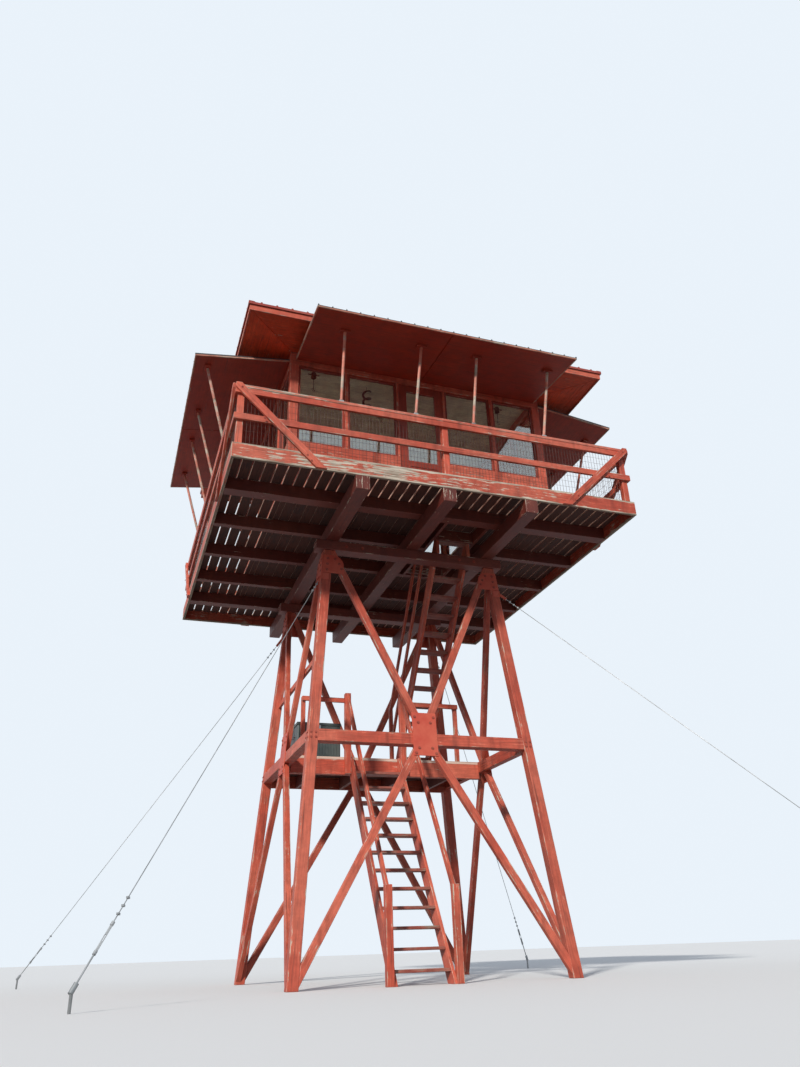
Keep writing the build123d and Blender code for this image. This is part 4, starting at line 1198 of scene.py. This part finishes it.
def place_glass():
    """Gives the CAD panes their finish."""
    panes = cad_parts["window_glass"]
    panes.data.materials.clear()
    panes.data.materials.append(LOOKS["window_glass"])


# Camera, low in front of the left corner and looking up
PHOTO_HEIGHT = 1067
FOCAL_PIXELS = 831.2
SENSOR = 36.0
CAMERA_PLACE = Vector((-4.108, -12.344, 0.365))
CAMERA_YAW = math.radians(19.763)
CAMERA_PITCH = math.radians(26.707)
CAMERA_ROLL = math.radians(-2.014)

# Studio
FLOOR_RADIUS = 250
PALE_FLOOR = (0.80, 0.81, 0.81, 1)
DARK_FLOOR = (0.12, 0.12, 0.11, 1)
PALE_SKY = (0.82, 0.89, 0.96, 1)
BLUE_SKY = (0.78, 0.86, 1.0, 1)
SKY_LIGHT = 0.45
KEY_COLOUR = (1.0, 0.95, 0.88)
KEY_SPREAD = 0.08
KEY_ENERGY = 3.3
KEY_TILT = math.radians(61)      # from straight down
KEY_TURN = math.radians(-40)     # from square to the front, towards the left


def place_camera():
    forward = Vector((math.sin(CAMERA_YAW) * math.cos(CAMERA_PITCH),
                      math.cos(CAMERA_YAW) * math.cos(CAMERA_PITCH), math.sin(CAMERA_PITCH)))
    level = Vector((math.cos(CAMERA_YAW), -math.sin(CAMERA_YAW), 0))
    above = level.cross(forward)
    right = level * math.cos(CAMERA_ROLL) + above * math.sin(CAMERA_ROLL)
    up = above * math.cos(CAMERA_ROLL) - level * math.sin(CAMERA_ROLL)
    lens = bpy.data.cameras.new("photo_camera")
    lens.sensor_width = SENSOR
    lens.lens = FOCAL_PIXELS / PHOTO_HEIGHT * SENSOR
    lens.clip_end = 2 * FLOOR_RADIUS
    camera = add_object("photo_camera", lens)
    axes = Matrix((right, up, -forward)).transposed().to_4x4()
    camera.matrix_world = Matrix.Translation(CAMERA_PLACE) @ axes
    bpy.context.scene.camera = camera


def seen_directly(tree):
    """One for camera, glossy and transmitted rays, nought for the light that bounces."""
    path = put(tree, "ShaderNodeLightPath").outputs
    seen = calc(tree, "ADD", path["Is Camera Ray"], path["Is Glossy Ray"])
    return calc(tree, "ADD", seen, path["Is Transmission Ray"], clamp=True)


def make_sky():
    """Pale where it is seen, a dimmer blue where it only lights."""
    world = bpy.data.worlds.new("studio")
    bpy.context.scene.world = world
    world.use_nodes = True
    tree = world.node_tree
    tree.nodes.clear()
    dim = put(tree, "ShaderNodeBackground", {"Color": BLUE_SKY, "Strength": SKY_LIGHT})
    pale = put(tree, "ShaderNodeBackground", {"Color": PALE_SKY, "Strength": 1.0})
    both = put(tree, "ShaderNodeMixShader", {0: seen_directly(tree), 1: dim.outputs[0],
                                             2: pale.outputs[0]})
    put(tree, "ShaderNodeOutputWorld", {0: both.outputs[0]})


def make_key_light():
    sun = bpy.data.lights.new("key", "SUN")
    sun.energy = KEY_ENERGY
    sun.angle = KEY_SPREAD
    sun.color = KEY_COLOUR
    add_object("key", sun).rotation_euler = (KEY_TILT, 0, KEY_TURN)


def lay_studio_floor():
    """Pale to the eye, darker for the light it throws back."""
    bm = bmesh.new()
    bmesh.ops.create_circle(bm, cap_ends=True, segments=96, radius=FLOOR_RADIUS)
    mesh = mesh_of(bm, "floor")
    tree, surface = new_material("floor", Roughness=0.9)[:2]
    feed(tree, surface, {"Base Color": mix(tree, seen_directly(tree), DARK_FLOOR, PALE_FLOOR)})
    mesh.materials.append(LOOKS["floor"])
    add_object("floor", mesh)


place_camera()
make_sky()
make_key_light()
lay_studio_floor()
bpy.context.scene.view_settings.view_transform = "Standard"

dress_timbers()
lay_catwalks()
lay_cab_floor()
lay_landing()
build_railing()
build_mesh_panels()
board_walls()
build_sashes()
place_glass()
finish_door()
board_ceiling()
hang_fixtures()
hang_spinner()
board_soffit()
cover_roof()
build_shutters()
finish_prop_ends()
bolt_frame()
bolt_beams()
twist_cables()
clip_cables()
open_turnbuckles()
fit_box_hardware()
